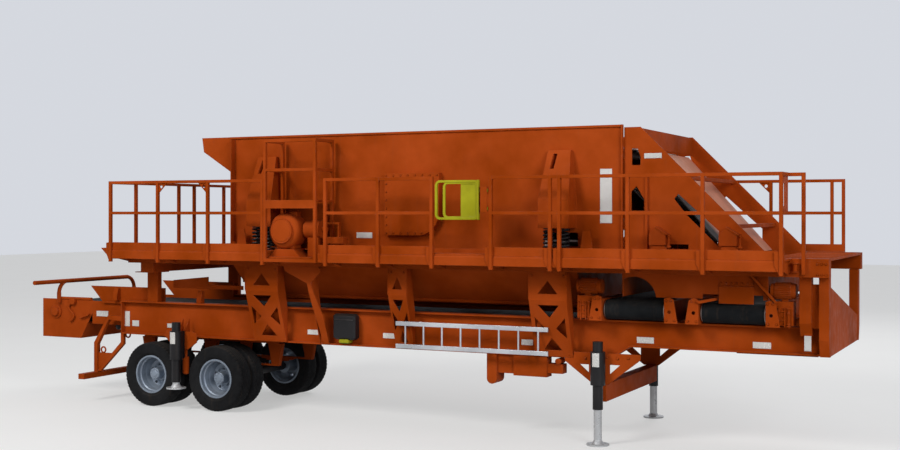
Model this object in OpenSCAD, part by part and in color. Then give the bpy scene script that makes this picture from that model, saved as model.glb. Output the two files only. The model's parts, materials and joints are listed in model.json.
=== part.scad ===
// Trailer-mounted horizontal vibrating screen plant, millimetres, +Z up.
// X runs from the conveyor head (-X) to the discharge and hitch end (+X).
// The origin is on the ground under the middle of the plant.

/* [Overall] */
// Length over the conveyor head and the end beam
overall_l = 12960; // [12900:10:13000]
// Facets of a full circle
$fn = 48; // [24:8:96]

/* [Screen box] */
// Length of the side plates
screen_l = 6220; // [6000:10:6240]
// Width over the side plates
screen_w = 2560; // [2540:2:2564]
// Height of the side plates
screen_h = 1670; // [1600:10:1700]
// Height of the plates' lower edge above the ground
screen_z = 2530; // [2525:5:2545]
// Middle of the screen box along the plant
screen_x = 760; // [740:5:770]
// Thickness of the side plates
plate_t = 12; // [8:1:14]
// Spring station at the feed end
spring_feed = -1640; // [-1660:5:-1630]
// Spring station at the discharge end
spring_out = 3005; // [2995:5:3015]
// Outer diameter of a coil spring
spring_d = 160; // [140:5:165]
// Bar diameter of a coil spring
spring_bar = 26; // [20:1:28]
// Turns of a coil spring
spring_turns = 6; // [4:1:7]
// Underside of the spring brackets above the ground
spring_top = 2850; // [2840:5:2880]

/* [Chassis] */
// Height of the rails' top flange
rail_top = 1640; // [1635:1:1640]
// Depth of the rails behind the step
rail_h = 530; // [500:5:535]
// Depth of the rails over the hitch
goose_h = 345; // [320:5:350]
// Distance of each rail from the middle line
rail_y = 1040; // [1040:1:1040]
// Width of the rail flanges
flange_w = 180; // [180:1:180]
// Thickness of the rail flanges
flange_t = 22; // [16:1:22]
// Thickness of the rail webs
web_t = 14; // [10:1:14]
// Rear end of the rails
rail_rear = -4610; // [-4620:5:-4605]
// Where the rails start to step up
step_x = 3610; // [3600:5:3660]

/* [Running gear] */
// Diameter of a tyre
tyre_d = 1010; // [990:5:1020]
// Width of a tyre
tyre_w = 278; // [270:1:280]
// Distance between the two tyres of a pair, middle to middle
dual_pitch = 343; // [338:1:346]
// Middle of each tyre pair from the middle line
dual_y = 938; // [930:1:940]
// Rear axle along the plant
axle_rear = -3925; // [-3930:1:-3920]
// Distance between the axles
axle_pitch = 1246; // [1230:1:1260]
// Radius of the wheel rims
rim_r = 286; // [280:1:288]

/* [Jacks] */
// Radius of the jack collars
jack_r = 98; // [90:1:98]
// Radius of the jack tubes
jack_tube_r = 68; // [66:1:72]
// Radius of the sliding legs
leg_r = 54; // [50:1:56]
// Front jacks along the plant
jack_front_x = 3510; // [3505:1:3515]
// Front jacks from the middle line
jack_front_y = 1250; // [1250:1:1252]
// Rear jacks from the middle line
jack_rear_y = 1380; // [1378:1:1384]
// Height of the rear jack feet when drawn up
jack_rear_foot = 340; // [320:5:400]

/* [Walkways] */
// Height of the walkway floors
floor_z = 2500; // [2500:1:2500]
// Outer face of the walkway edge from the middle line
edge_y = 1805; // [1800:1:1810]
// Handrail tube size
tube = 44; // [38:1:50]
// Top of the handrails
hand_z = 3540; // [3500:5:3570]
// Top of the middle rails
knee_z = 3072; // [3040:2:3090]
// Top of the toe boards
toe_z = 2600; // [2580:2:2620]

/* [Conveyors] */
// Radius of the long conveyor's pulleys
pulley_r = 150; // [140:1:150]
// Belt thickness
belt_t = 12; // [8:1:14]
// Width of the long conveyor's belt
belt_w = 1500; // [1400:10:1520]
// Radius of the cross conveyors' pulleys
cross_r = 116; // [100:1:118]
// Middle of the inner cross conveyor along the plant
cross_in = 4002; // [3998:1:4006]
// Middle of the outer cross conveyor along the plant
cross_out = 5288; // [5284:1:5292]

/* [Gate] */
// Free end of the gate along the plant
gate_tip = 1410; // [1400:5:1420]
// Hinge pin of the gate along the plant
gate_pin_x = 2170; // [2165:1:2175]
// Radius of the hinge pin
gate_pin_r = 10; // [8:1:12]

/* [Hidden] */

orange = [0.86, 0.36, 0.07];
yellow = [0.95, 0.78, 0.05];
black = [0.07, 0.07, 0.07];
steel = [0.66, 0.66, 0.64];

end_x = overall_l / 2;
nose_x = end_x - 40;
rail_bottom = rail_top - rail_h;
goose_bottom = rail_top - goose_h;
step_run = 300;
flange_out = rail_y + flange_w / 2;
flange_in = rail_y - flange_w / 2;
web_in = rail_y - web_t / 2;
web_out = rail_y + web_t / 2;

frame_top = floor_z - 30;
frame_bottom = frame_top - 200;
frame_out = 1400;
frame_in = 1250;
feed_x = -4230;
walk_end = 6030;
far_end = 6180;
bay = [-1343, -495];
gate_posts = [1353, 2228];
rail_posts = [[-4210, -3293, -2363, -1392], [-327, 524, 1353],
              [2228, 3064, 3191, 4106, 5056, 5999]];
rail_end = 5999;
inset_x = 6186;
far_posts = [-4210, -3290, -2360, -1400, -430, 540, 1510, 2480, 3400, 4250, 5126, 6000, 6160];
end_rail_x = feed_x + tube / 2;
end_posts = [-edge_y - tube / 2, -1240, -170, 240, 1070, edge_y + tube / 2];
gate_y = edge_y + tube / 2;
hinge_z = [3110, 3350];
post_foot = frame_top - 170;

fold_z = 1890;
fold_y = 1382;
foot_z = rail_bottom + 10;
foot_y = flange_out + 8;
leg_t = 12;
leg_top = frame_bottom - leg_t;

plate_y = screen_w / 2;
screen_top = screen_z + screen_h;
screen_rear = screen_x - screen_l / 2;
screen_front = screen_x + screen_l / 2;
spring_x = [spring_feed, spring_out];
spring_y = 1440;
spring_pitch = 220;
deck_tubes = [for (i = [0:7]) screen_rear + 250 + i * 817];

motor_x = -1110;
motor_z = 2790;
base_z = frame_top - 75;
foot_h = 2530;

chute_x = screen_front + 35;
chute_end = 5687;
slide_top = [4025, 3870];
slide_foot = [5245, 2520];
cheek_y = 1268;
cheek_t = 6;

axle_x = [axle_rear, axle_rear + axle_pitch];
hub_z = tyre_d / 2;
spindle_r = 50;
spindle_end = dual_y + 140;
jack_top = 1360;
jack_rear_x = (axle_x[0] + axle_x[1]) / 2;
bore_r = leg_r + 0.6;
jack_front_low = 470;
jack_rear_low = 440;
pad_front = flange_out + 20;
pad_rear = flange_out + 130;
front_leg_top = 960;
rear_leg_top = 1310;

head_y = 900;
head_joint = -5400;
head_pulley_x = -6180;
tail_pulley_x = 3080;
pulley_z = 1400;
cross_x = [cross_in, cross_out];
cross_z = rail_top + 17 + belt_t + cross_r;
cross_reach = 1150;
stringer_in = 420;
stringer_out = 530;

// Box between two corners
module box(low, high) { translate(low) cube(high - low); }

// Outline in X and Z, as a plate between two Y planes
module plate_xz(points, y0, y1) {
    translate([0, y1, 0]) rotate([90, 0, 0]) linear_extrude(y1 - y0) polygon(points);
}

// Outline in Y and Z, as a plate between two X planes
module plate_yz(points, x0, x1) {
    translate([x0, 0, 0]) rotate([90, 0, 90]) linear_extrude(x1 - x0) polygon(points);
}

// Round bar along Y
module rod_y(x, z, r, y0, y1) { translate([x, y0, z]) rotate([-90, 0, 0]) cylinder(r = r, h = y1 - y0); }

// Round bar along X
module rod_x(y, z, r, x0, x1) { translate([x0, y, z]) rotate([0, 90, 0]) cylinder(r = r, h = x1 - x0); }

// The child and its mirror image across the middle line
module both() {
    children();
    mirror([0, 1, 0]) children();
}

// One I-shaped rail with its step up over the hitch
module chassis_rail() {
    lower = [[rail_rear, rail_bottom], [step_x, rail_bottom],
             [step_x + step_run, goose_bottom], [nose_x, goose_bottom]];
    plate_xz(concat(lower, [[nose_x, rail_top], [rail_rear, rail_top]]), -web_out, -web_in);
    plate_xz(concat(lower, [for (i = [3:-1:0]) lower[i] + [0, flange_t]]), -flange_out, -flange_in);
    box([rail_rear, -flange_out, rail_top - flange_t], [nose_x, -flange_in, rail_top]);
    box([rail_rear, -flange_out, rail_bottom], [rail_rear + web_t, -flange_in, rail_top]);
    box([nose_x - web_t, -flange_out, goose_bottom], [nose_x, -flange_in, rail_top]);
}

module chassis_rails() { color(orange) both() chassis_rail(); }

module chassis_cross_members() {
    low = rail_bottom + flange_t;
    high = goose_bottom + flange_t;
    color(orange) {
        for (x = [-4300, jack_rear_x, -2300, -900, 600, 2100, 3400])
            box([x - 75, -web_in, low], [x + 75, web_in, low + 90]);
        for (x = [4300, 5000, 5800, 6330])
            box([x - 75, -web_in, high], [x + 75, web_in, high + 120]);
    }
}

module kingpin_plate() {
    kingpin_x = 5800;
    color(orange) {
        box([5300, -flange_out + 30, goose_bottom - 14], [6300, flange_out - 30, goose_bottom]);
        translate([kingpin_x, 0, goose_bottom - 14 - 84]) cylinder(r = 25.4, h = 84);
    }
}

// Three-cornered hole through a leg, with its base at z0 and its point at z1
module three_corner(x, half, z0, z1) {
    plate_xz([[x - half, z0], [x + half, z0], [x, z1]], -fold_y - 50, -foot_y + 30);
}

// Folded leg: upright above the fold, leaning in to the rail below it
module leg_side(x) {
    plate_yz([[-fold_y - 4, leg_top + 2], [-fold_y - 4, fold_z], [-foot_y - 2, foot_z], [-flange_out, foot_z],
              [-flange_out, rail_top], [-frame_in - 14, leg_top + 2]], x, x + leg_t);
}

module leg_plate(x0, x1) {
    plate_yz([[-fold_y - leg_t, leg_top], [-fold_y - leg_t, fold_z], [-foot_y - leg_t, foot_z],
              [-foot_y, foot_z], [-fold_y, fold_z], [-fold_y, leg_top]], x0, x1);
    box([x0, -frame_out + 6, leg_top], [x1, -frame_in, frame_bottom]);
}

module leg(x, w) {
    difference() {
        leg_plate(x - w / 2, x + w / 2);
        three_corner(x, w * 0.26, fold_z + 85, fold_z + 260);
        three_corner(x, w * 0.28, fold_z - 65, fold_z - 235);
        three_corner(x, w * 0.24, foot_z + 90, foot_z + 260);
        for (s = [-1, 1])
            plate_xz([[x + s * w * 0.4, foot_z + 260], [x + s * w * 0.4, fold_z - 235],
                      [x + s * w * 0.14, (foot_z + fold_z) / 2]], -fold_y - 50, -foot_y + 30);
    }
    for (side = [x - w / 2, x + w / 2 - leg_t]) leg_side(side);
}

// Wide at the deck frame, narrow at the fold and leaning to the rail
module tapered_leg() {
    outline = [[-1320, frame_bottom + 1], [-1291, 2193], [-911, 2024], [-880, fold_z], [-860, 1708],
               [-770, foot_z - 1], [-680, foot_z - 1], [-700, 1546], [-795, fold_z], [-843, 2031],
               [-661, 2203], [-718, frame_bottom + 1]];
    intersection() {
        leg_plate(-1330, -650);
        plate_xz(outline, -frame_out - 10, -flange_out);
    }
    leg_side(-845);
}

module support_legs() {
    color(orange) {
        both() {
            leg(-1710, 580);
            leg(588, 295);
            leg(2857, 540);
        }
        tapered_leg();
    }
}

// Columns at both ends that carry the deck frame on the rails
module end_columns() {
    beam = [-3976, -3726];
    column = [-4076, -3875];
    beam_low = frame_bottom - 140;
    post = [6107, 6250];
    end_post = [nose_x - 100, nose_x + 20];
    color(orange) {
        box([beam[0], -frame_out, beam_low], [beam[1], frame_out, frame_bottom]);
        both() {
            box([column[0], -flange_out + 10, rail_top], [column[1], -flange_out + 110, beam_low]);
            box([column[0] - 14, -frame_out, beam_low - 12], [beam[1], -flange_out + 110, beam_low]);
            plate_yz([[-flange_out, goose_bottom], [-flange_out - 80, goose_bottom],
                      [-frame_in - 20, 1500], [-frame_in - 20, frame_bottom], [-flange_out, frame_bottom]],
                     end_post[0], end_post[1]);
        }
        // Near side only: a second post and the plate that joins the two
        plate_yz([[-flange_out, 1540], [-flange_out - 60, 1540], [-frame_in - 20, 1700],
                  [-frame_in - 20, frame_bottom], [-flange_out, frame_bottom]], post[0], post[1]);
        box([post[1] - 5, -flange_out - 72, rail_top], [end_post[0] + 5, -flange_out - 60, 2180]);
        plate_yz([[-flange_out, 2150], [-flange_out, goose_bottom], [flange_out, goose_bottom],
                  [flange_out, 1640]], nose_x, nose_x + 12);
    }
}

// Long beams and cross beams that carry the screen, the walkways and the chutes
module deck_frame() {
    color(orange) {
        both() box([feed_x, -frame_out, frame_bottom], [end_x, -frame_in, frame_top]);
        for (x = [feed_x, -2800, 3500, 5880])
            box([x, -frame_in, frame_bottom + 20], [x + 150, frame_in, frame_top]);
    }
}

// Floor, edge channel, toe board and brackets of one stretch of walkway
module walkway(x0, x1, posts) {
    edge_t = 10;
    foot = edge_y - edge_t;
    box([x0, -foot, frame_top], [x1, -frame_in, floor_z]);
    box([x0, -edge_y, frame_top - 125], [x1, -foot, toe_z]);
    box([x0, -foot, frame_top - 125], [x1, -foot + 60, frame_top - 113]);
    for (x = posts)
        plate_yz([[-foot, frame_top], [-foot, frame_top - 113], [-foot + 60, frame_top - 113],
                  [-frame_out, frame_bottom + 20], [-frame_out, frame_top]], x - 6, x + 6);
}

module walkways() {
    color(orange) {
        walkway(feed_x, bay[0] - 27, rail_posts[0]);
        difference() {
            walkway(bay[1] + 27, walk_end, concat(rail_posts[1], rail_posts[2]));
            box([gate_posts[0] + 30, -edge_y - 1, floor_z], [gate_posts[1] - 30, -edge_y + 11, toe_z + 1]);
        }
        mirror([0, 1, 0]) walkway(feed_x, far_end, far_posts);
    }
}

module end_platforms() {
    edge_low = frame_top - 125;
    lean = 180;
    start = 5760;
    color(orange) {
        box([feed_x, -frame_in, frame_top], [-2930, frame_in, floor_z]);
        plate_xz([[feed_x, edge_low], [feed_x, floor_z], [feed_x - lean, floor_z + 10],
                  [feed_x - lean - 12, floor_z + 10], [feed_x - 12, edge_low]], -edge_y, edge_y);
        translate([0, 0, frame_top]) linear_extrude(floor_z - frame_top)
            polygon([[start, -frame_in], [walk_end, -frame_in], [walk_end, -frame_out], [end_x, -frame_out],
                     [end_x, frame_out], [far_end, frame_out], [far_end, frame_in], [start, frame_in]]);
    }
}

// Upright square tubes of a handrail along X
module rail_posts_x(posts) {
    for (x = posts) box([x - tube / 2, -edge_y - tube, post_foot], [x + tube / 2, -edge_y, hand_z]);
}

// Level square tubes between neighbouring posts
module rail_bars_x(posts) {
    for (i = [1:len(posts) - 1], z = [hand_z, knee_z])
        box([posts[i - 1] + tube / 2, -edge_y - tube, z - tube], [posts[i] - tube / 2, -edge_y, z]);
}

module handrail_posts_near() {
    color(orange) {
        for (posts = rail_posts) rail_posts_x(posts);
        box([inset_x - tube / 2, -frame_out - tube, post_foot], [inset_x + tube / 2, -frame_out, hand_z]);
        // Hinge plates and pins on the gate post
        for (z = hinge_z) {
            difference() {
                box([gate_pin_x - 18, -gate_y - 18, z - 42], [gate_posts[1], -gate_y + 18, z + 42]);
                box([gate_pin_x - 19, -gate_y - 19, z - 30],
                    [gate_posts[1] - tube / 2 - 6, -gate_y + 19, z + 30]);
            }
            translate([gate_pin_x, -gate_y, z - 42]) cylinder(r = gate_pin_r, h = 84);
        }
    }
}
module handrail_bars_near() {
    color(orange) {
        for (posts = rail_posts) rail_bars_x(posts);
        // Short rail at the discharge end, set in to the deck frame
        for (z = [hand_z, knee_z])
            box([rail_end - tube / 2, -frame_out - tube, z - tube], [inset_x - tube / 2, -frame_out, z]);
    }
}
module handrail_posts_far() { color(orange) mirror([0, 1, 0]) rail_posts_x(far_posts); }
module handrail_bars_far() { color(orange) mirror([0, 1, 0]) rail_bars_x(far_posts); }

// Handrail across the feed end, from side rail to side rail
module handrail_posts_end() {
    color(orange) for (i = [1:4]) box([end_rail_x - tube / 2, end_posts[i] - tube / 2, floor_z],
                                      [end_rail_x + tube / 2, end_posts[i] + tube / 2, hand_z]);
}
module handrail_bars_end() {
    color(orange) {
        for (i = [1:5], z = [hand_z, knee_z])
            box([end_rail_x - tube / 2, end_posts[i - 1] + tube / 2, z - tube],
                [end_rail_x + tube / 2, end_posts[i] - tube / 2, z]);
        for (z = [hand_z, knee_z])
            box([rail_end - tube / 2, -edge_y, z - tube], [rail_end + tube / 2, -frame_out - tube, z]);
    }
}

// Three-cornered stiffener in the corner of a post and the top bar, with a round hole
module rail_gusset(post, side, y) {
    corner = post + side * tube / 2;
    size = 150;
    difference() {
        plate_xz([[corner, hand_z - tube], [corner + side * size, hand_z - tube],
                  [corner, hand_z - tube - size]], y - 5, y + 5);
        rod_y(corner + side * 48, hand_z - tube - 48, 24, y - 6, y + 6);
    }
}
module handrail_gussets() {
    color(orange) {
        rail_gusset(rail_posts[0][1], 1, -gate_y);
        rail_gusset(rail_posts[0][2], -1, -gate_y);
        rail_gusset(far_posts[10], -1, gate_y);
        // Slotted plate between the near rail and the short one
        difference() {
            box([rail_end - 6, -edge_y, knee_z], [rail_end + 6, -frame_out - tube, hand_z - tube]);
            box([rail_end - 7, -1770, knee_z + 60], [rail_end + 7, -1640, hand_z - tube - 90]);
        }
    }
}

// Flat outline with round corners
module round_frame(x0, z0, x1, z1, r) {
    for (x = [x0 + r, x1 - r], z = [z0 + r, z1 - r]) translate([x, z]) circle(r = r);
    translate([x0 + r, z0]) square([x1 - x0 - 2 * r, z1 - z0]);
    translate([x0, z0 + r]) square([x1 - x0, z1 - z0 - 2 * r]);
}

// Bent-tube loop of the gate between two Y planes
module gate_loop(x0, z0, x1, z1, r, half) {
    translate([0, -gate_y + half, 0]) rotate([90, 0, 0]) linear_extrude(2 * half) difference() {
        round_frame(x0, z0, x1, z1, r);
        round_frame(x0 + 32, z0 + 32, x1 - 32, z1 - 32, r - 32);
    }
}

module safety_gate() {
    low = 2960;
    high = 3490;
    right = 2060;
    color(yellow) difference() {
        union() {
            gate_loop(gate_tip, low, right, high, 75, 17);
            gate_loop(gate_tip + 118, low + 14, right - 10, high - 20, 75, 12);
            box([1790, -gate_y - 3, low + 20], [right - 20, -gate_y + 3, high - 20]);
            for (z = hinge_z) {
                box([right - 10, -gate_y - 12, z - 22], [gate_pin_x, -gate_y + 12, z + 22]);
                translate([gate_pin_x, -gate_y, z - 22]) cylinder(r = gate_pin_r + 10, h = 44);
            }
        }
        for (z = hinge_z)
            translate([gate_pin_x, -gate_y, z - 40]) cylinder(r = gate_pin_r + 0.08, h = 80);
    }
}

// Raised platform and its rails over the motor
module service_platform() {
    deck_z = 3235;
    edge = 120;
    top_z = 4110;
    mid_z = 3690;
    near = -edge_y - tube;
    far = -1395;
    x0 = bay[0] - tube / 2;
    x1 = bay[1] + tube / 2;
    color(orange) {
        for (x = bay) {
            box([x - tube / 2, near, frame_top - 125], [x + tube / 2, near + tube, top_z]);
            box([x - tube / 2, far, frame_top], [x + tube / 2, far + tube, top_z]);
            for (z = [top_z, mid_z]) box([x - tube / 2, near, z - tube], [x + tube / 2, far + tube, z]);
            box([x - tube / 2, near + 1, frame_top - 125], [x + tube / 2, -frame_out, frame_top - 75]);
        }
        for (z = [top_z, mid_z]) box([x0, near, z - tube], [x1, near + tube, z]);
        box([x0, near, frame_top - 125], [x1, near + tube, frame_top - 75]);
        box([x0, near, deck_z - 25], [x1, far + tube, deck_z]);
        box([x0, near, deck_z - edge], [x1, near + tube, deck_z]);
    }
}

module motor_base() {
    color(orange) {
        box([bay[0] - 17, -1780, base_z], [bay[1] + 17, -1420, base_z + 25]);
        plate_xz([[motor_x - 270, base_z + 20], [motor_x + 270, base_z + 20], [motor_x + 150, foot_h],
                  [motor_x - 150, foot_h]], -1680, -1440);
    }
}

module drive_motor() {
    face = -1776;
    back = -1410;
    color(orange) {
        rod_y(motor_x, motor_z, 190, face, face + 90);
        translate([motor_x, face + 60, motor_z]) rotate([-90, 0, 0]) cylinder(r1 = 205, r2 = 258, h = 50);
        rod_y(motor_x, motor_z, 258, face + 110, -1530);
        rod_y(motor_x, motor_z, 225, -1530, back);
        rod_y(motor_x, motor_z, 80, back, -1330);
        for (x = [motor_x - 110, motor_x + 110])
            box([x - 40, -1660, foot_h], [x + 40, -1460, motor_z - 200]);
        box([motor_x + 40, -1620, motor_z + 200], [motor_x + 170, -1500, motor_z + 290]);
    }
}

module drive_coupling() {
    drum_x = [-830, -570];
    arm_x = [-532, -284];
    color(orange) {
        rod_x(-1500, 2815, 130, drum_x[0], drum_x[1]);
        rod_x(-1500, 2815, 45, drum_x[1], drum_x[1] + 70);
        box([drum_x[0] + 40, -1560, base_z + 25], [drum_x[1] - 40, -1440, 2740]);
        box([arm_x[0], -1530, 2890], [arm_x[1], -1470, 2918]);
        box([arm_x[1] - 20, -1530, 2700], [arm_x[1], -1470, 2900]);
        box([arm_x[0] + 16, -1570, 2612], [arm_x[1] + 94, -1430, 2706]);
        box([arm_x[1] - 90, -1540, floor_z], [arm_x[1] + 40, -1460, 2620]);
    }
}

// Points of a coil: rings of a round bar along a helix
function coil_point(a, b, r, bar, pitch) =
    [(r + bar * cos(b)) * cos(a), (r + bar * cos(b)) * sin(a), pitch * a / 360 + bar * sin(b)];

module coil(r, bar, turns, height) {
    sides = 6;
    rings = turns * 12;
    pitch = (height - 2 * bar) / turns;
    points = [for (i = [0:rings], j = [0:sides - 1])
              coil_point(i * 360 * turns / rings, j * 360 / sides, r, bar, pitch)];
    walls = [for (i = [0:rings - 1], j = [0:sides - 1])
             [i * sides + j, i * sides + (j + 1) % sides,
              (i + 1) * sides + (j + 1) % sides, (i + 1) * sides + j]];
    caps = [[for (j = [sides - 1:-1:0]) j], [for (j = [0:sides - 1]) rings * sides + j]];
    translate([0, 0, bar]) polyhedron(points, concat(walls, caps));
}

module screen_springs() {
    seat = 16;
    bar = spring_bar / 2;
    tall = spring_top - floor_z;
    color(black) both() for (x = spring_x, s = [-0.5, 0.5])
        translate([x + s * spring_pitch, -spring_y, floor_z]) {
            cylinder(d = spring_d - 10, h = seat);
            translate([0, 0, tall - seat]) cylinder(d = spring_d - 10, h = seat);
            translate([0, 0, seat - 8]) coil(spring_d / 2 - bar, bar, spring_turns, tall - 2 * seat + 16);
        }
}

// Side plate with its edge flanges and the two spring brackets
module screen_side() {
    bracket_top = 3885;
    knee = 3230;
    out = spring_y + 130;
    half = 215;
    window = 240;
    difference() {
        box([screen_rear, -plate_y, screen_z], [screen_front, -plate_y + plate_t, screen_top]);
        for (x = spring_x) box([x - window, -plate_y - 1, screen_z + 35],
                               [x + window, -plate_y + plate_t + 1, spring_top - 60]);
    }
    box([screen_rear, -plate_y - 20, screen_top - 30], [screen_front, -plate_y + 1, screen_top]);
    box([screen_front - 20, -plate_y - 40, screen_z], [screen_front, -plate_y + 1, screen_top]);
    box([screen_rear + 75, -plate_y - 100, screen_z + 90], [screen_rear + 87, -plate_y + 1, screen_top - 40]);
    for (x = spring_x) difference() {
        plate_yz([[-plate_y + 1, bracket_top], [-plate_y - 60, bracket_top], [-out, knee],
                  [-out, spring_top], [-plate_y + 1, spring_top]], x - half, x + half);
        plate_xz([[x - 75, bracket_top - 50], [x - 20, bracket_top - 50], [x - 50, bracket_top - 250],
                  [x - 105, bracket_top - 250]], -out - 1, -plate_y - 1);
        for (s = [-1, 1]) plate_xz([[x + s * 160, bracket_top + 1], [x + s * (half + 1), bracket_top + 1],
                                    [x + s * (half + 1), knee]], -out - 1, -plate_y);
    }
}
module screen_sides() { color(orange) both() screen_side(); }

// Covers over the shaft ends, rounded at one lower corner
module exciter_covers() {
    x0 = 371;
    x1 = 1235;
    low = 2736;
    high = 3610;
    round_r = 330;
    color(orange) both() {
        difference() {
            box([x0, -plate_y - 90, low], [x1, -plate_y, high]);
            box([x1 - round_r, -plate_y - 100, low - 1], [x1 + 1, -plate_y + 1, low + round_r]);
        }
        intersection() {
            rod_y(x1 - round_r, low + round_r, round_r, -plate_y - 90, -plate_y);
            box([x1 - round_r, -plate_y - 90, low], [x1, -plate_y, low + round_r]);
        }
    }
}

module exciter_tub() {
    inner = plate_y - plate_t;
    color(orange) {
        box([480, -inner, 3060], [1130, inner, 3560]);
        for (x = [560, 805, 1050]) rod_y(x, 3310, 260, -inner + 40, inner - 40);
    }
}

// Deck panel on a row of round cross tubes
module deck(z, tubes) {
    inner = plate_y - plate_t;
    box([screen_rear, -inner, z - 20], [screen_front, inner, z]);
    for (x = tubes) rod_y(x, z - 60, 48, -inner, inner);
}

module top_deck() { color(steel) deck(3900, deck_tubes); }
module lower_decks() {
    color(steel) {
        deck(2980, deck_tubes);
        deck(2690, deck_tubes);
    }
}

// Flared box that takes the feed, with the back plate under it
module feed_box() {
    tip = screen_rear - 530;
    outline = [[tip, screen_top], [tip + 30, 4000], [screen_rear, 3690], [screen_rear, screen_top]];
    color(orange) {
        both() plate_xz(outline, -plate_y, -plate_y + plate_t);
        plate_xz([[tip + 30, 4000], [screen_rear, 3690], [screen_rear, 3676], [tip + 30, 3986]],
                 -plate_y, plate_y);
        box([screen_rear - plate_t, -plate_y + plate_t, screen_z], [screen_rear, plate_y - plate_t, 3690]);
    }
}

// Hole through a cheek
module cheek_hole(points) { plate_xz(points, -cheek_y - cheek_t - 1, -cheek_y + cheek_t + 1); }

module chute_cheeks() {
    crown = 4165;
    lead = screen_front + 10;
    outside = -cheek_y - cheek_t;
    color(orange) both() difference() {
        union() {
            plate_xz([[lead, floor_z], [lead, crown], [chute_x + 195, crown],
                      [chute_end, floor_z + 80], [chute_end, floor_z]], outside, -cheek_y + cheek_t);
            box([4168, outside - 30, 2575], [4201, -cheek_y, 3530]);
        }
        cheek_hole([[3985, 3670], [4098, 3670], [4098, 3780], [4060, 3889], [3985, 3889]]);
        cheek_hole([[3978, 3080], [4147, 3080], [4147, 3229], [4048, 3397], [3978, 3330]]);
        cheek_hole([[4545, 3230], [4597, 3294], [5119, 2824], [5119, 2623], [4708, 3025]]);
        cheek_hole([[4465, 2592], [4730, 2592], [4730, 2650], [4465, 2650]]);
    }
}

// Sloping slide between the cheeks
module slide_plate(top, foot) {
    t = 18;
    plate_xz([top, top + [t, 0], foot + [t, 0], foot], -cheek_y + cheek_t, cheek_y - cheek_t);
}
module chute_slides() {
    inner = cheek_y - cheek_t;
    color(steel) {
        slide_plate(slide_top, slide_foot);
        slide_plate([chute_x + 60, 3380], [chute_x + 780, 2660]);
        box([chute_x + 20, -inner, slide_top[1] - 12], [slide_top[0] - 3, inner, slide_top[1]]);
    }
}

// Cross ties on the chute's upper edge and the plate that closes its head
module chute_ties() {
    inner = cheek_y - cheek_t;
    head = chute_x + 180;
    color(orange) {
        box([head, -inner, 3900], [head + 12, inner, 4150]);
        box([head - 30, -inner, 4140], [head + 12, inner, 4152]);
        for (p = [[4690, 3500], [5270, 2880]])
            box([p[0] - 40, -inner, p[1] - 25], [p[0] + 40, inner, p[1] + 25]);
    }
}

// Skirts that drop from the deck frame to the cross conveyors
module chute_lower() {
    low = 1965;
    arch = 300;
    mid = (cross_in + cross_out) / 2;
    x0 = chute_x - 60;
    x1 = chute_end + 40;
    color(orange) {
        both() difference() {
            box([x0, -frame_in, low], [x1, -frame_in + 12, frame_top]);
            rod_y(cross_in, low - 40, arch, -frame_in - 1, -frame_in + 13);
            box([cross_out - 380, -frame_in - 1, low - 1], [cross_out + 380, -frame_in + 13, low + 60]);
        }
        for (x = [x0, x1 - 12]) box([x, -frame_in + 12, low], [x + 12, frame_in - 12, frame_top]);
        plate_xz([[mid - 170, low], [mid, frame_top - 60], [mid + 170, low], [mid + 150, low],
                  [mid, frame_top - 110], [mid - 150, low]], -frame_in + 12, frame_in - 12);
    }
}

// Base plates and stiffeners on the walkways beside the springs
module spring_seats() {
    tall = 315;
    color(orange) both() for (x0 = [spring_feed - 505, spring_out + 310]) {
        plate_xz([[x0, floor_z], [x0 + 195, floor_z], [x0 + 150, floor_z + tall], [x0 + 45, floor_z + tall]],
                 -1420, -1408);
        box([x0, -1500, floor_z], [x0 + 195, -1320, floor_z + 14]);
    }
}

// Funnel under the screen box
module fines_hopper() {
    x0 = screen_rear;
    x1 = 3200;
    out = frame_in;
    mouth = 720;
    t = 10;
    top = frame_top - 30;
    low = 1790;
    color(orange) {
        both() plate_yz([[-out, top], [-out, top - 140], [-mouth, low], [-mouth + t, low],
                         [-out + t, top - 134], [-out + t, top]], x0, x1);
        for (x = [x0, x1 - t])
            plate_yz([[-out + 1, top], [-out + 1, top - 140], [-mouth, low], [mouth, low],
                      [out - 1, top - 140], [out - 1, top]], x, x + t);
    }
}

module conveyor_frame() {
    low = rail_bottom + flange_t + 90;
    color(orange) {
        both() {
            box([head_joint, -head_y - 12, low], [3300, -head_y, 1600]);
            plate_xz([[head_joint - 15, 1850], [-5160, 1590], [-3890, 1590], [-3890, 1850]],
                     -head_y - 30, -head_y);
        }
        for (x = [-4900, -2600, 0, 2500]) box([x, -head_y, low], [x + 60, head_y, low + 12]);
    }
}

module stadium_y(x0, x1, z, r, y0, y1) {
    rod_y(x0, z, r, y0, y1);
    rod_y(x1, z, r, y0, y1);
    box([x0, y0, z - r], [x1, y1, z + r]);
}
module stadium_x(y0, y1, z, r, x0, x1) {
    rod_x(y0, z, r, x0, x1);
    rod_x(y1, z, r, x0, x1);
    box([x0, y0, z - r], [x1, y1, z + r]);
}

module conveyor_belt() {
    w = belt_w / 2;
    r = pulley_r + 0.5;
    color(black) difference() {
        stadium_y(head_pulley_x, tail_pulley_x, pulley_z, r + belt_t, -w, w);
        stadium_y(head_pulley_x, tail_pulley_x, pulley_z, r, -w - 1, w + 1);
    }
}

// Quarter bend of a round tube, turning down from a level run along Y
module bend_down(x, y, z, r, bend, side) {
    translate([x, y, z - bend]) intersection() {
        rotate([0, 90, 0]) rotate_extrude() translate([bend, 0]) circle(r = r);
        box([-r - 1, side > 0 ? 0 : -bend - r - 1, 0], [r + 1, side > 0 ? bend + r + 1 : 0, bend + r + 1]);
    }
}

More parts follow.
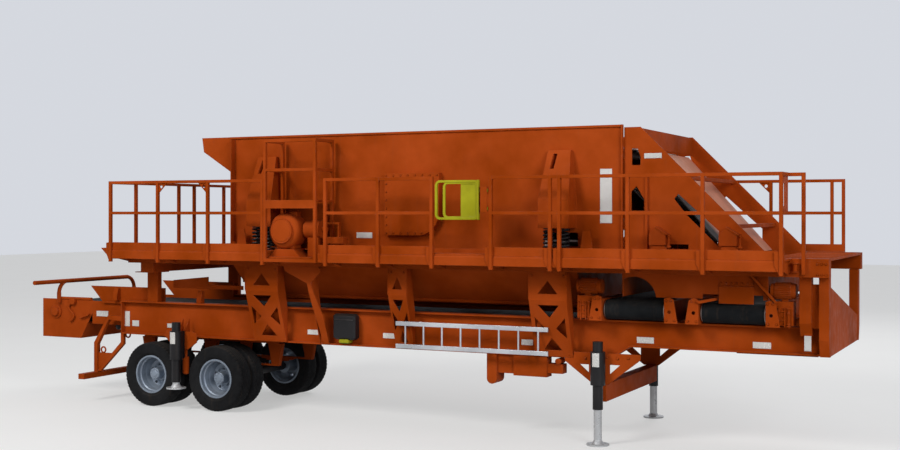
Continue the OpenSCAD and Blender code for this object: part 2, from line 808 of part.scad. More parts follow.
// Cheeks of the head, the hoop over it and the cross ties
module conveyor_head() {
    top = 1613;
    low = 973;
    heel = -5645;
    hoop_x = -6100;
    hoop_z = 1905;
    r = 32;
    sleeve = 35;
    bend = 200;
    plate = head_y + 40;
    color(orange) {
        both() plate_xz([[-end_x, low], [-end_x, top], [head_joint, top], [head_joint, 1400], [heel, low]],
                        -head_y - 12, -head_y);
        both() rod_x(-head_y - 6, top + 14, 24, hoop_x, head_joint - 20);
        box([heel - 60, -head_y, low + 12], [heel - 4, head_y, low + 72]);
        plate_xz([[heel, low], [-5500, 1225], [-5514, 1225], [heel - 14, low]], -head_y, head_y);
        box([-end_x, -head_y, low], [-end_x + 12, head_y, low + 160]);
        for (s = [-1, 1]) {
            translate([hoop_x, s * plate, top - 60]) cylinder(r = sleeve, h = hoop_z - bend - top + 80);
            bend_down(hoop_x, s * (plate - bend), hoop_z, r, bend, s);
        }
        rod_y(hoop_x, hoop_z, sleeve, -1500, plate - bend + 20);
    }
}

module conveyor_pulleys() {
    half = belt_w / 2 + 20;
    color(steel) {
        for (x = [head_pulley_x, tail_pulley_x]) {
            rod_y(x, pulley_z, pulley_r, -half, half);
            rod_y(x, pulley_z, 40, -head_y, head_y);
        }
        for (x = cross_x, s = [-1, 1]) {
            rod_x(s * cross_reach, cross_z, cross_r, x - stringer_in + 15, x + stringer_in - 15);
            rod_x(s * cross_reach, cross_z, 30, x - stringer_in, x + stringer_in);
        }
    }
}

// One stringer of a cross conveyor: a channel with a bearing plate at each end
module stringer(x, open) {
    low = rail_top;
    high = cross_z + cross_r + belt_t + 12;
    depth = stringer_out - stringer_in;
    half = 1300;
    lip = 10;
    box([min(x, x + open * lip), -half, low], [max(x, x + open * lip), half, high]);
    for (z = [low, high - lip])
        box([min(x, x + open * depth), -half, z], [max(x, x + open * depth), half, z + lip]);
    for (y = [-half - 14, half]) difference() {
        plate_xz([[x, low], [x, high + 30], [x + open * 60, high + 50], [x + open * 125, high + 20],
                  [x + open * 175, low]], y, y + 14);
        rod_y(x + open * depth * 0.6, cross_z, 22, y - 1, y + 15);
    }
}

module cross_conveyor_frames() {
    color(orange) for (x = cross_x) {
        stringer(x - stringer_in, -1);
        stringer(x + stringer_in, 1);
    }
}

module cross_conveyor_belts() {
    r = cross_r + 0.5;
    half = stringer_in - 30;
    color(black) for (x = cross_x) difference() {
        stadium_x(-cross_reach, cross_reach, cross_z, r + belt_t, x - half, x + half);
        stadium_x(-cross_reach, cross_reach, cross_z, r, x - half - 1, x + half + 1);
    }
}

// Shaft-mounted gear case with its motor above, on one side of a cross conveyor
module cross_drive(x, s, reach) {
    near = x + s * stringer_out;
    far = x + s * reach;
    mid = (near + far) / 2;
    box([min(near, far), -1240, rail_top + 20], [max(near, far), -1060, 1960]);
    rod_x(-1150, 2085, 95, min(near - s * 70, far + s * 15), max(near - s * 70, far + s * 15));
    box([mid - 40, -1190, 1950], [mid + 40, -1110, 2010]);
}
module cross_conveyor_drives() {
    color(orange) {
        cross_drive(cross_in, -1, 780);
        cross_drive(cross_out, 1, 740);
    }
}

// Sub-rails, hangers and stepped leaf springs over the axles
module suspension() {
    low = 1012;
    hangers = [axle_x[0] - axle_pitch / 2, jack_rear_x, axle_x[1] + axle_pitch / 2];
    leaf_z = [hub_z + 105, hub_z + 130, hub_z + 155];
    leaf_half = [200, 300, axle_pitch / 2];
    color(orange) both() {
        box([-4620, -540, low], [-1980, -420, rail_bottom + flange_t]);
        for (x = hangers)
            plate_xz([[x - 130, low + 1], [x - 60, leaf_z[2]], [x + 60, leaf_z[2]], [x + 130, low + 1]],
                     -520, -440);
        for (x = axle_x, i = [0:2])
            box([x - leaf_half[i], -515, leaf_z[i]], [x + leaf_half[i], -445, leaf_z[i] + 25]);
    }
}

module axles() {
    shoulder = 612;
    color(black) for (x = axle_x) {
        rod_y(x, hub_z, 64, -shoulder, shoulder);
        rod_y(x, hub_z, spindle_r, -spindle_end, spindle_end);
        both() box([x - 90, -520, hub_z], [x + 90, -440, hub_z + 105]);
    }
}

// Pair of deep rims on one hub, with hand holes round the discs
module wheel(x, side) {
    rim = [[150, 0], [246, 0], [270, 60], [rim_r + 14, 62], [rim_r + 14, 76], [rim_r, 76], [rim_r, 268],
           [rim_r + 14, 268], [rim_r + 14, 282], [272, 282], [272, 214], [254, 200], [254, 104],
           [214, 30], [150, 16]];
    translate([x, side * dual_y, hub_z]) rotate([-90 * side, 0, 0]) difference() {
        union() {
            for (m = [0, 1]) mirror([0, 0, m]) rotate_extrude() polygon(rim);
            translate([0, 0, -282]) cylinder(r = 120, h = 340);
            cylinder(r = 160, h = 60, center = true);
            cylinder(r = 92, h = 190);
        }
        translate([0, 0, -320]) cylinder(r = spindle_r + 0.08, h = 470);
        for (a = [20:72:308]) rotate([0, 0, a]) translate([186, 0, -40]) cylinder(r = 23, h = 80, $fn = 16);
    }
}

// Pair of tyres, each an outline turned about the axle
module tyre_pair(x, side) {
    mid = dual_pitch / 2;
    w = tyre_w / 2;
    out = tyre_d / 2;
    half = [[rim_r, 95], [rim_r + 14, 95], [rim_r + 40, w - 12], [rim_r + 110, w], [out - 40, w - 6],
            [out - 8, w - 24], [out, w - 48]];
    outline = concat([for (p = half) [p[0], mid + p[1]]],
                     [for (i = [len(half) - 1:-1:0]) [half[i][0], mid - half[i][1]]]);
    translate([x, side * dual_y, hub_z]) rotate([-90, 0, 0])
        for (m = [0, 1]) mirror([0, 0, m]) rotate_extrude() polygon(outline);
}

module wheel_rear_near() { color(steel) wheel(axle_x[0], -1); }
module wheel_rear_far() { color(steel) wheel(axle_x[0], 1); }
module wheel_front_near() { color(steel) wheel(axle_x[1], -1); }
module wheel_front_far() { color(steel) wheel(axle_x[1], 1); }
module tyres_rear_near() { color(black) tyre_pair(axle_x[0], -1); }
module tyres_rear_far() { color(black) tyre_pair(axle_x[0], 1); }
module tyres_front_near() { color(black) tyre_pair(axle_x[1], -1); }
module tyres_front_far() { color(black) tyre_pair(axle_x[1], 1); }

// Jack tube, bored from below, with a flat pad towards the rail
module jack_tube(x, y, low, pad_y) {
    collar = [790, 1225];
    difference() {
        union() {
            translate([x, -y, low]) cylinder(r = jack_tube_r, h = jack_top - low);
            translate([x, -y, collar[0]]) cylinder(r = jack_r, h = collar[1] - collar[0]);
            box([x - 70, -y, collar[0] + 10], [x + 70, -pad_y, collar[1] - 5]);
        }
        translate([x, -y, low - 1]) cylinder(r = bore_r, h = jack_top - low - 19);
    }
}
module jack_tubes() {
    color(black) both() {
        jack_tube(jack_front_x, jack_front_y, jack_front_low, pad_front);
        jack_tube(jack_rear_x, jack_rear_y, jack_rear_low, pad_rear);
    }
}

// Plates that hold the jacks on the rails, and the tube between the front ones
module jack_brackets() {
    v_low = 790;
    v_half = 110;
    y0 = -pad_front;
    y1 = -flange_out;
    rear = jack_rear_x;
    color(orange) {
        both() {
            difference() {
                plate_xz([[3010, foot_z - 2], [3010, 1075], [jack_front_x - v_half, v_low],
                          [jack_front_x + v_half, v_low], [4060, 1130], [4060, 1200], [3135, 1200],
                          [3135, foot_z - 2]], y0, y1);
                plate_xz([[3220, 1040], [3350, 1040], [3350, 930]], y0 - 1, y1 + 1);
                plate_xz([[3640, 1050], [3780, 1050], [3640, 925]], y0 - 1, y1 + 1);
            }
            for (s = [-1, 1])
                plate_yz([[-flange_out, 1120], [-pad_rear, 1000], [-pad_rear, 1215], [-flange_out, 1400]],
                         rear + s * 60 - 6, rear + s * 60 + 6);
            plate_xz([[rear - 330, 1140], [rear - 110, 935], [rear + 130, 935], [rear + 300, 1050],
                      [rear + 300, 1180], [rear + 210, 1215], [rear - 280, 1215]], -pad_rear, -pad_rear + 12);
        }
        box([jack_front_x - 80, y0, 560], [jack_front_x + 80, -y0, v_low]);
    }
}

// Sliding leg with its round foot
module jack_leg(x, y, foot, top) {
    translate([x, y, foot]) {
        cylinder(r = 150, h = 20);
        translate([0, 0, 15]) cylinder(r1 = 90, r2 = leg_r, h = 50);
        cylinder(r = leg_r, h = top - foot);
    }
}
module jack_leg_front(side) { jack_leg(jack_front_x, side * jack_front_y, 0, front_leg_top); }
module jack_leg_rear(side) { jack_leg(jack_rear_x, side * jack_rear_y, jack_rear_foot, rear_leg_top); }
module jack_leg_front_near() { color(steel) jack_leg_front(-1); }
module jack_leg_front_far() { color(steel) jack_leg_front(1); }
module jack_leg_rear_near() { color(steel) jack_leg_rear(-1); }
module jack_leg_rear_far() { color(steel) jack_leg_rear(1); }

// Bent hangers and the bar across the rear
module rear_bumper() {
    back = -5185;
    y0 = -1075;
    y1 = -1005;
    color(orange) {
        both() {
            plate_xz([[rail_rear, 1300], [rail_rear, 1385], [-4930, 1385], [back - 35, 935], [back - 35, 430],
                      [back + 35, 430], [back + 35, 915], [-4915, 1320]], y0, y1);
            plate_xz([[back + 20, 470], [back + 90, 470], [rail_rear, 935], [rail_rear, 1120],
                      [rail_rear - 60, 1120], [rail_rear - 60, 965]], y0 + 10, y1 - 10);
        }
        box([back - 60, -1410, 375], [back + 60, 1410, 460]);
    }
}

// Stowed ladder on its hooks
module ladder() {
    x0 = 520;
    x1 = 2830;
    z0 = 1140;
    z1 = 1520;
    face = 1284;
    color(steel) {
        for (z = [z0, z1 - 60]) box([x0, -face - 28, z], [x1, -face, z + 60]);
        for (i = [0:7]) let (x = x0 + 150 + i * 288)
            translate([x, -face - 14, z0 + 50]) cylinder(r = 14, h = z1 - z0 - 100);
        for (x = [760, 2530]) box([x, -face - 1, z0], [x + 40, -web_out, z0 + 40]);
    }
}

module manual_box() {
    color(black) {
        box([-590, -1200, 1225], [-245, -web_out, 1570]);
        box([-600, -1210, 1520], [-235, -web_out, 1576]);
    }
}

module utility_box() {
    y0 = -1120;
    y1 = -940;
    color(orange) {
        box([1850, y0, 770], [2000, y1 + 80, rail_bottom]);
        rod_y(1925, 770, 75, y0, y1 + 80);
        box([2000, y0 + 30, 850], [2250, y1, rail_bottom]);
        box([2250, y0, 830], [2740, y1, rail_bottom]);
        box([2740, y0 + 20, 885], [2960, y1, 1012]);
        rod_y(2900, 1052, 42, y0, y1);
    }
}

chassis_rails();
chassis_cross_members();
kingpin_plate();
support_legs();
end_columns();
deck_frame();
walkways();
end_platforms();
handrail_posts_near();
handrail_bars_near();
handrail_posts_far();
handrail_bars_far();
handrail_posts_end();
handrail_bars_end();
handrail_gussets();
service_platform();
safety_gate();
drive_motor();
motor_base();
drive_coupling();
screen_springs();
screen_sides();
exciter_covers();
exciter_tub();
top_deck();
lower_decks();
feed_box();
chute_cheeks();
chute_slides();
chute_ties();
chute_lower();
spring_seats();
fines_hopper();
conveyor_frame();
conveyor_belt();
conveyor_head();
conveyor_pulleys();
cross_conveyor_frames();
cross_conveyor_belts();
cross_conveyor_drives();
suspension();
axles();
jack_tubes();
jack_brackets();
rear_bumper();
ladder();
manual_box();
utility_box();
wheel_rear_near();
wheel_rear_far();
wheel_front_near();
wheel_front_far();
tyres_rear_near();
tyres_rear_far();
tyres_front_near();
tyres_front_far();
jack_leg_front_near();
jack_leg_front_far();
jack_leg_rear_near();
jack_leg_rear_far();
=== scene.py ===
import json
import math
import bpy
import numpy as np
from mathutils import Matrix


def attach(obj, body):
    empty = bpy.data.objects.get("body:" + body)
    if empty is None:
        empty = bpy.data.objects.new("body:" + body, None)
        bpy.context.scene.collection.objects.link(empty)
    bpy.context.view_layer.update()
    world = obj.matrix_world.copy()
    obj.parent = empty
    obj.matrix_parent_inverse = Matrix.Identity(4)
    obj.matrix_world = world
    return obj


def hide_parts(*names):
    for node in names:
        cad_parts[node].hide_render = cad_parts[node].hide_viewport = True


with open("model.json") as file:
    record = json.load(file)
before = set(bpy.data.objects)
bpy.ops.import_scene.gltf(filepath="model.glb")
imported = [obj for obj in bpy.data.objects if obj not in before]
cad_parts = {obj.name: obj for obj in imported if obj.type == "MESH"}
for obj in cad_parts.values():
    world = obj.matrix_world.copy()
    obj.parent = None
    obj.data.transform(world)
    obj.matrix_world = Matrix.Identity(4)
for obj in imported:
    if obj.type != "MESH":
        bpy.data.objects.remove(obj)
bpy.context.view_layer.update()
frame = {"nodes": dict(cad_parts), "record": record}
nodes = frame["nodes"]
slotOf = {part["node"]: part["material_slot"] for part in frame["record"]["subparts"]}
print("loaded", len(nodes), "nodes")

# Materials: each finish has noise for tone, grime, settled dust, worn edges and roughness; the slide's finish
# also has painted shade
finishes = {
    "orange_paint": dict(colour=(0.40, 0.058, 0.004), rough=0.46, metal=0.0, gloss=0.012,
                         dust=0.05, stain=0.20, wear=0.35, grain=7.0, bump=0.05),
    "safety_yellow": dict(colour=(0.38, 0.36, 0.008), rough=0.42, metal=0.0, gloss=0.1,
                          dust=0.06, stain=0.3, wear=0.4, grain=9.0, bump=0.05),
    "black_paint": dict(colour=(0.010, 0.009, 0.010), rough=0.40, metal=0.0, gloss=0.2,
                        dust=0.08, stain=0.2, wear=0.35, grain=9.0, bump=0.08),
    "tyre_rubber": dict(colour=(0.010, 0.010, 0.011), rough=0.85, metal=0.0, gloss=0.15,
                        dust=0.12, stain=0.35, wear=0.15, grain=14.0, bump=0.2),
    # wheel_paint's colour is pale silver, darkened part way towards the shade under the chassis: partly
    # painted shade
    "wheel_paint": dict(colour=(0.27, 0.32, 0.39), rough=0.36, metal=0.3, gloss=0.4,
                        dust=0.2, stain=0.5, wear=0.4, grain=12.0, bump=0.06),
    "belt_rubber": dict(colour=(0.006, 0.007, 0.008), rough=0.75, metal=0.0, gloss=0.1,
                        dust=0.05, stain=0.3, wear=0.1, grain=8.0, bump=0.15),
    "bare_steel": dict(colour=(0.40, 0.33, 0.30), rough=0.46, metal=0.5, gloss=0.5,
                       dust=0.35, stain=0.6, wear=0.3, grain=10.0, bump=0.12),
    "jack_steel": dict(colour=(0.58, 0.59, 0.60), rough=0.32, metal=0.35, gloss=0.5,
                       dust=0.3, stain=0.4, wear=0.3, grain=12.0, bump=0.05),
    "ladder_aluminium": dict(colour=(0.60, 0.61, 0.64), rough=0.35, metal=0.85, gloss=0.5,
                             dust=0.15, stain=0.3, wear=0.2, grain=20.0, bump=0.05),
    "plain_plate": dict(colour=(0.70, 0.69, 0.66), rough=0.35, metal=0.0, gloss=0.4,
                        dust=0.15, stain=0.3, wear=0.3, grain=20.0, bump=0.02),
    # The shade ranges below darken the chute's slides by position and facing: painted shade
    "slide_steel_painted_shade": dict(colour=(0.78, 0.345, 0.225), rough=0.45, metal=0.0, gloss=0.05,
                        dust=0.15, stain=0.3, wear=0.3, grain=12.0, bump=0.1,
                        shade=dict(level=(7.45, 7.62), side=(-1.02, -0.80), under=(0.2, 0.4))),
    "reflector": dict(colour=(0.78, 0.76, 0.72), rough=0.22, metal=0.2, gloss=0.5,
                      dust=0.2, stain=0.25, wear=0.2, grain=40.0, bump=0.1),
}
# The near-black colour here is painted shade, laid on the slide's shaded parts
weatheringAndShade = dict(darker=0.74, paler=1.08, runStretch=(14.0, 14.0, 0.9), runColour=(0.12, 0.075, 0.045),
                  dustColour=(0.36, 0.29, 0.22), paintedShadeColour=(0.022, 0.016, 0.014), edgeRadius=0.010,
                  bumpDepth=0.004)


def makeFinish(name, colour, rough, metal, gloss, dust, stain, wear, grain, bump, shade=None):
    material = bpy.data.materials.new(name)
    material.use_nodes = True
    tree = material.node_tree
    make, link = tree.nodes.new, tree.links.new
    shader = tree.nodes["Principled BSDF"]
    shader.inputs["Metallic"].default_value = metal
    shader.inputs["Specular IOR Level"].default_value = gloss
    place = make("ShaderNodeTexCoord").outputs["Object"]

    def noise(scale, detail, roughness=0.55, stretch=None):
        node = make("ShaderNodeTexNoise")
        node.inputs["Scale"].default_value = scale
        node.inputs["Detail"].default_value = detail
        node.inputs["Roughness"].default_value = roughness
        source = place
        if stretch:
            mapping = make("ShaderNodeMapping")
            mapping.inputs["Scale"].default_value = stretch
            link(place, mapping.inputs["Vector"])
            source = mapping.outputs["Vector"]
        link(source, node.inputs["Vector"])
        return node.outputs["Fac"]

    def ramp(value, low, high, lowTone=0.0, highTone=1.0):
        node = make("ShaderNodeMapRange")
        for key, number in zip(("From Min", "From Max", "To Min", "To Max"), (low, high, lowTone, highTone)):
            node.inputs[key].default_value = number
        link(value, node.inputs["Value"])
        return node.outputs["Result"]

    def mix(factor, a, b):
        node = make("ShaderNodeMix")
        node.data_type = "RGBA"
        link(factor, node.inputs["Factor"])
        for socket, value in ((node.inputs["A"], a), (node.inputs["B"], b)):
            if isinstance(value, tuple):
                socket.default_value = (*value, 1.0)
            else:
                link(value, socket)
        return node.outputs["Result"]

    def multiply(a, b):
        node = make("ShaderNodeMath")
        node.operation = "MULTIPLY"
        for socket, value in zip(node.inputs, (a, b)):
            if isinstance(value, float):
                socket.default_value = value
            else:
                link(value, socket)
        return node.outputs["Value"]

    darker = tuple(c * weatheringAndShade["darker"] for c in colour)
    paler = tuple(min(1.0, c * weatheringAndShade["paler"] + 0.006) for c in colour)
    tone = mix(ramp(noise(1.3, 4.0), 0.35, 0.68), darker, paler)
    # Grime in blotches, and runs that are long in Z
    grime = multiply(ramp(noise(3.7, 7.0, 0.7), 0.54, 0.80), stain)
    tone = mix(grime, tone, tuple(c * 0.45 + 0.012 for c in colour))
    runs = multiply(ramp(noise(1.0, 5.0, 0.6, weatheringAndShade["runStretch"]), 0.58, 0.80), stain * 0.6)
    tone = mix(runs, tone, weatheringAndShade["runColour"])
    # Dust settles where the surface faces up
    shape = make("ShaderNodeNewGeometry")
    facing = make("ShaderNodeSeparateXYZ")
    link(shape.outputs["Normal"], facing.inputs["Vector"])
    settled = multiply(ramp(facing.outputs["Z"], 0.35, 0.95), ramp(noise(6.0, 6.0), 0.35, 0.75, 0.15, 1.0))
    tone = mix(multiply(settled, dust), tone, weatheringAndShade["dustColour"])
    # Worn edges: where the rounded normal leaves the true one
    edge = make("ShaderNodeBevel")
    edge.samples = 4
    edge.inputs["Radius"].default_value = weatheringAndShade["edgeRadius"]
    turn = make("ShaderNodeVectorMath")
    turn.operation = "DOT_PRODUCT"
    link(edge.outputs["Normal"], turn.inputs[0])
    link(shape.outputs["Normal"], turn.inputs[1])
    chips = multiply(ramp(turn.outputs["Value"], 0.97, 0.75), ramp(noise(16.0, 6.0, 0.7), 0.50, 0.62))
    tone = mix(multiply(chips, wear), tone, tuple(min(1.0, c * 0.6 + 0.16) for c in colour))
    if shade:
        # Painted shade: darker where X + Z is low (the lower slide, under the other one), beside the near
        # cheek and on faces turned down
        split = make("ShaderNodeSeparateXYZ")
        link(place, split.inputs["Vector"])
        level = make("ShaderNodeMath")
        link(split.outputs["X"], level.inputs[0])
        link(split.outputs["Z"], level.inputs[1])
        sources = dict(level=level.outputs["Value"], side=split.outputs["Y"], under=facing.outputs["Z"])
        for key, value in sources.items():
            tone = mix(ramp(value, *shade[key], 1.0, 0.0), tone, weatheringAndShade["paintedShadeColour"])
    link(tone, shader.inputs["Base Color"])
    sheen = ramp(noise(grain, 5.0), 0.3, 0.75, max(0.05, rough - 0.1), min(1.0, rough + 0.16))
    link(sheen, shader.inputs["Roughness"])
    relief = make("ShaderNodeBump")
    relief.inputs["Strength"].default_value = bump
    relief.inputs["Distance"].default_value = weatheringAndShade["bumpDepth"]
    link(noise(grain * 9.0, 4.0), relief.inputs["Height"])
    link(edge.outputs["Normal"], relief.inputs["Normal"])
    link(relief.outputs["Normal"], shader.inputs["Normal"])
    return material


materials = {name: makeFinish(name, **values) for name, values in finishes.items()}
for name, node in nodes.items():
    node.data.materials.clear()
    node.data.materials.append(materials["slide_steel_painted_shade" if name == "chute_slides" else slotOf[name]])
print("materials done")


# Shapes: a part is (points, groups of faces with one corner count each)
def flipped(groups):
    # The same faces, seen from the other side
    return [group[:, ::-1] for group in groups]


def ringSolid(rings, closed=False):
    # Rings of equal point counts joined in order; the ends are capped unless the rings close on themselves
    count, sides = rings.shape[:2]
    step = np.arange(count if closed else count - 1)[:, None]
    side = np.arange(sides)[None, :]

    def corner(a, b):
        return (a % count) * sides + b % sides

    quads = [corner(step, side), corner(step, side + 1), corner(step + 1, side + 1), corner(step + 1, side)]
    groups = [np.stack(quads, -1).reshape(-1, 4)]
    if not closed:
        groups.append(np.stack([np.arange(sides)[::-1], np.arange(sides) + (count - 1) * sides]))
    return rings.reshape(-1, 3), groups


axes = {
    "y": np.array([[0, 0, 1], [1, 0, 0], [0, 1, 0.0]]),
    "z": np.eye(3),
}


def turned(profile, centre, axis, sides=32, sign=1, closed=False):
    # Radius and height pairs turned about an axis: centre + r (cos a u + sin a v) + sign h w
    profile = np.asarray(profile, float) * (1, sign)
    angle = np.linspace(0, 2 * np.pi, sides, endpoint=False)
    u, v, w = axes[axis]
    around = np.cos(angle)[:, None] * u + np.sin(angle)[:, None] * v
    rings = profile[:, 0, None, None] * around + profile[:, 1, None, None] * w + np.asarray(centre, float)
    points, groups = ringSolid(rings, closed)
    return points, groups if sign > 0 else flipped(groups)


def softBlock(low, high, edge=0.004):
    # Box with cut edges: eight-cornered rings, drawn in at the top and bottom
    low, high = np.asarray(low, float), np.asarray(high, float)
    cut = min(edge, 0.45 * (high - low).min())

    def ring(z, inset):
        (x0, y0), (x1, y1) = low[:2] + inset, high[:2] - inset
        flat = [(x0 + cut, y0), (x1 - cut, y0), (x1, y0 + cut), (x1, y1 - cut),
                (x1 - cut, y1), (x0 + cut, y1), (x0, y1 - cut), (x0, y0 + cut)]
        return [(x, y, z) for x, y in flat]

    levels = [(low[2], cut * 0.9), (low[2] + cut, 0), (high[2] - cut, 0), (high[2], cut * 0.9)]
    return ringSolid(np.array([ring(z, inset) for z, inset in levels]))


def pipe(path, radius, sides=10):
    # Circle carried along a path that lies in one plane
    path = np.asarray(path, float)
    along = np.gradient(path, axis=0)
    along /= np.linalg.norm(along, axis=1)[:, None]
    normal = np.linalg.svd(path - path.mean(0))[2][2]
    across = np.cross(normal, along)
    upward = np.cross(along, across)
    angle = np.linspace(0, 2 * np.pi, sides, endpoint=False)[None, :, None]
    ring = np.cos(angle) * across[:, None] + np.sin(angle) * upward[:, None]
    return ringSolid(path[:, None] + radius * ring)


def panel(outline, axis, start, end):
    # Flat outline pushed along an axis; the outline's coordinates are the other two in order
    flat = np.asarray(outline, float)
    ahead = np.roll(flat, -1, 0)
    if (np.sum(flat[:, 0] * ahead[:, 1] - ahead[:, 0] * flat[:, 1]) > 0) == (axis == 1):
        flat = flat[::-1]
    rings = np.empty((2, len(flat), 3))
    others = [k for k in range(3) if k != axis]
    rings[:, :, others] = flat
    rings[0, :, axis], rings[1, :, axis] = start, end
    return ringSolid(rings)


def copies(part, places):
    # The same part at every place
    points, groups = part
    places = np.asarray(places, float).reshape(-1, 3)
    moved = (points[None] + places[:, None]).reshape(-1, 3)
    shift = (np.arange(len(places)) * len(points))[:, None, None]
    return moved, [(group[None] + shift).reshape(-1, group.shape[1]) for group in groups]


def mirrored(part):
    # The same part on the other side, y to -y
    points, groups = part
    return points * (1, -1, 1), flipped(groups)


def spread(values, axis=0):
    # Places along one axis
    places = np.zeros((len(values), 3))
    places[:, axis] = values
    return places


def circleSpots(centre, radius, count, start=0.0):
    # Places round a centre, in the plane of X and Z
    x, y, z = centre
    turn = start + np.linspace(0, 2 * np.pi, count, endpoint=False)
    return np.stack([x + radius * np.cos(turn), np.full(count, y), z + radius * np.sin(turn)], -1)


def boltHead(radius, height, axis="y", sign=-1):
    # Six-sided head with a chamfer, on a washer
    profile = [(radius * 1.35, 0), (radius * 1.35, height * 0.2), (radius, height * 0.2),
               (radius, height * 0.85), (radius * 0.85, height)]
    return turned(profile, (0, 0, 0), axis, 6, sign)


def addPiece(name, parts, finish, body="plant", sharp=35, replaced=()):
    points = np.concatenate([part[0] for part in parts])
    firsts = np.cumsum([0] + [len(part[0]) for part in parts[:-1]])
    groups = [group + first for part, first in zip(parts, firsts) for group in part[1]]
    sizes = np.concatenate([np.full(len(group), group.shape[1]) for group in groups])
    corners = np.concatenate([group.ravel() for group in groups])
    mesh = bpy.data.meshes.new(name)
    mesh.vertices.add(len(points))
    mesh.vertices.foreach_set("co", points.astype(np.float32).ravel())
    mesh.loops.add(len(corners))
    mesh.loops.foreach_set("vertex_index", corners.astype(np.int32))
    mesh.polygons.add(len(sizes))
    mesh.polygons.foreach_set("loop_start", (np.cumsum(sizes) - sizes).astype(np.int32))
    mesh.update(calc_edges=True)
    mesh.shade_smooth()
    mesh.set_sharp_from_angle(angle=math.radians(sharp))
    mesh.materials.append(materials[finish])
    piece = bpy.data.objects.new(name, mesh)
    bpy.context.scene.collection.objects.link(piece)
    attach(piece, body)
    if replaced:
        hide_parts(*replaced)


# Tyres: a closed cross-section turned about the axle, with grooves cut into the tread
hubs = dict(spots=dict(rear=-3.925, front=-2.679), height=0.505, pairMiddle=0.938, pairHalf=0.1715)
tyre = dict(radius=0.505, beadRadius=0.288, halfWidth=0.139, shoulderIn=0.036, crownDrop=0.006, ribs=5,
            grooveDepth=0.013, shoulderBlocks=52, blockDepth=0.009, steps=208)
sides = (("near", -1), ("far", 1))
wheelPlaces = [(end, side, x, sign) for end, x in hubs["spots"].items() for side, sign in sides]


def makeTyre(x, y):
    out, rim, half = tyre["radius"], tyre["beadRadius"], tyre["halfWidth"]
    treadHalf = half - tyre["shoulderIn"]
    wall = [(rim, 0.098), (rim + 0.018, 0.104), (rim + 0.024, 0.112), (rim + 0.034, 0.116),
            (rim + 0.050, 0.126), (rim + 0.056, 0.130), (rim + 0.064, 0.130), (rim + 0.085, 0.136),
            (rim + 0.11, half), (rim + 0.15, half - 0.002), (out - 0.045, half - 0.007),
            (out - 0.030, half - 0.010), (out - 0.016, half - 0.016), (out - 0.006, half - 0.026)]
    across = np.linspace(treadHalf, -treadHalf, 34)
    crown = np.stack([out - tyre["crownDrop"] * (across / half) ** 2, across], -1)
    inside = [(rim, -0.05), (rim, 0.05)]
    section = np.concatenate([wall, crown, np.array(wall)[::-1] * (1, -1), inside])[::-1]
    angle = np.linspace(0, 2 * np.pi, tyre["steps"], endpoint=False)
    place = section[:, 1] / treadHalf
    onTread = (section[:, 0] > out - 0.012) & (np.abs(place) <= 1.0)
    fromRib = np.abs((place * tyre["ribs"] / 2 + 0.5) % 1.0 - 0.5)
    groove = np.clip(1.6 - 6.0 * fromRib, 0, 1) * (np.abs(place) < 0.85) * onTread
    beyond = (np.abs(section[:, 1]) - half * 0.62) / (half * 0.1)
    shoulder = np.clip(beyond, 0, 1) * (section[:, 0] > out - 0.035)
    notch = (np.sin(angle * tyre["shoulderBlocks"]) > 0.35).astype(float)
    # Radius = section radius - groove depth across the tread - block depth at the shoulders
    blocks = tyre["blockDepth"] * notch[:, None] * shoulder[None]
    radius = section[None, :, 0] - tyre["grooveDepth"] * groove[None] - blocks
    rings = np.stack([x + radius * np.cos(angle)[:, None], np.broadcast_to(y + section[:, 1], radius.shape),
                      hubs["height"] + radius * np.sin(angle)[:, None]], -1)
    return ringSolid(rings, closed=True)


for end, side, x, sign in wheelPlaces:
    offsets = (-hubs["pairHalf"], hubs["pairHalf"])
    pair = [makeTyre(x, sign * (hubs["pairMiddle"] + offset)) for offset in offsets]
    addPiece(f"tyre_tread_{end}_{side}", pair, "tyre_rubber", f"wheel_{end}_{side}_body", 30,
             (f"tyres_{end}_{side}",))
print("tyres done")

# Wheel fittings: nuts round the hub flange, and a stepped hub cap with its screws
wheel = dict(flangeReach=0.030, nutCircle=0.127, nuts=10, nutRadius=0.015, nutHeight=0.032, capRadius=0.086,
             capReach=0.190, capScrews=8, screwCircle=0.070, screwReach=0.006, screwRadius=0.009,
             screwHeight=0.008)


def makeWheelFittings(x, sign):
    # Heads copied round two circles, and radius and height pairs turned for the cap
    z = hubs["height"]
    flange = sign * (hubs["pairMiddle"] + wheel["flangeReach"])
    cap = sign * (hubs["pairMiddle"] + wheel["capReach"])
    spots = circleSpots((x, flange, z), wheel["nutCircle"], wheel["nuts"])
    nuts = copies(boltHead(wheel["nutRadius"], wheel["nutHeight"], "y", sign), spots)
    spots = circleSpots((x, cap + sign * wheel["screwReach"], z), wheel["screwCircle"], wheel["capScrews"])
    screws = copies(boltHead(wheel["screwRadius"], wheel["screwHeight"], "y", sign), spots)
    profile = [(0.0925, -0.01), (wheel["capRadius"], 0.006), (0.056, 0.007), (0.050, 0.014),
               (0.026, 0.020), (0.004, 0.021)]
    return [nuts, screws, turned(profile, (x, cap, z), "y", 32, sign)]


for end, side, x, sign in wheelPlaces:
    fittings = makeWheelFittings(x, sign)
    addPiece(f"wheel_fittings_{end}_{side}", fittings, "wheel_paint", f"wheel_{end}_{side}_body")
print("wheels done")

# Drive motor: one turned casing with rounded shoulders, on its feet, with a box for the leads
motor = dict(place=(-1.11, -1.776, 2.79), radius=0.258, faceRadius=0.182, length=0.366, shaftRadius=0.08,
             feet=(-0.11, 0.11), footHalf=0.04, footSpan=(-1.66, -1.46), footLow=2.53, leads=(0.04, 0.17),
             leadsSpan=(-1.62, -1.50), leadsLevels=(0.20, 0.285))


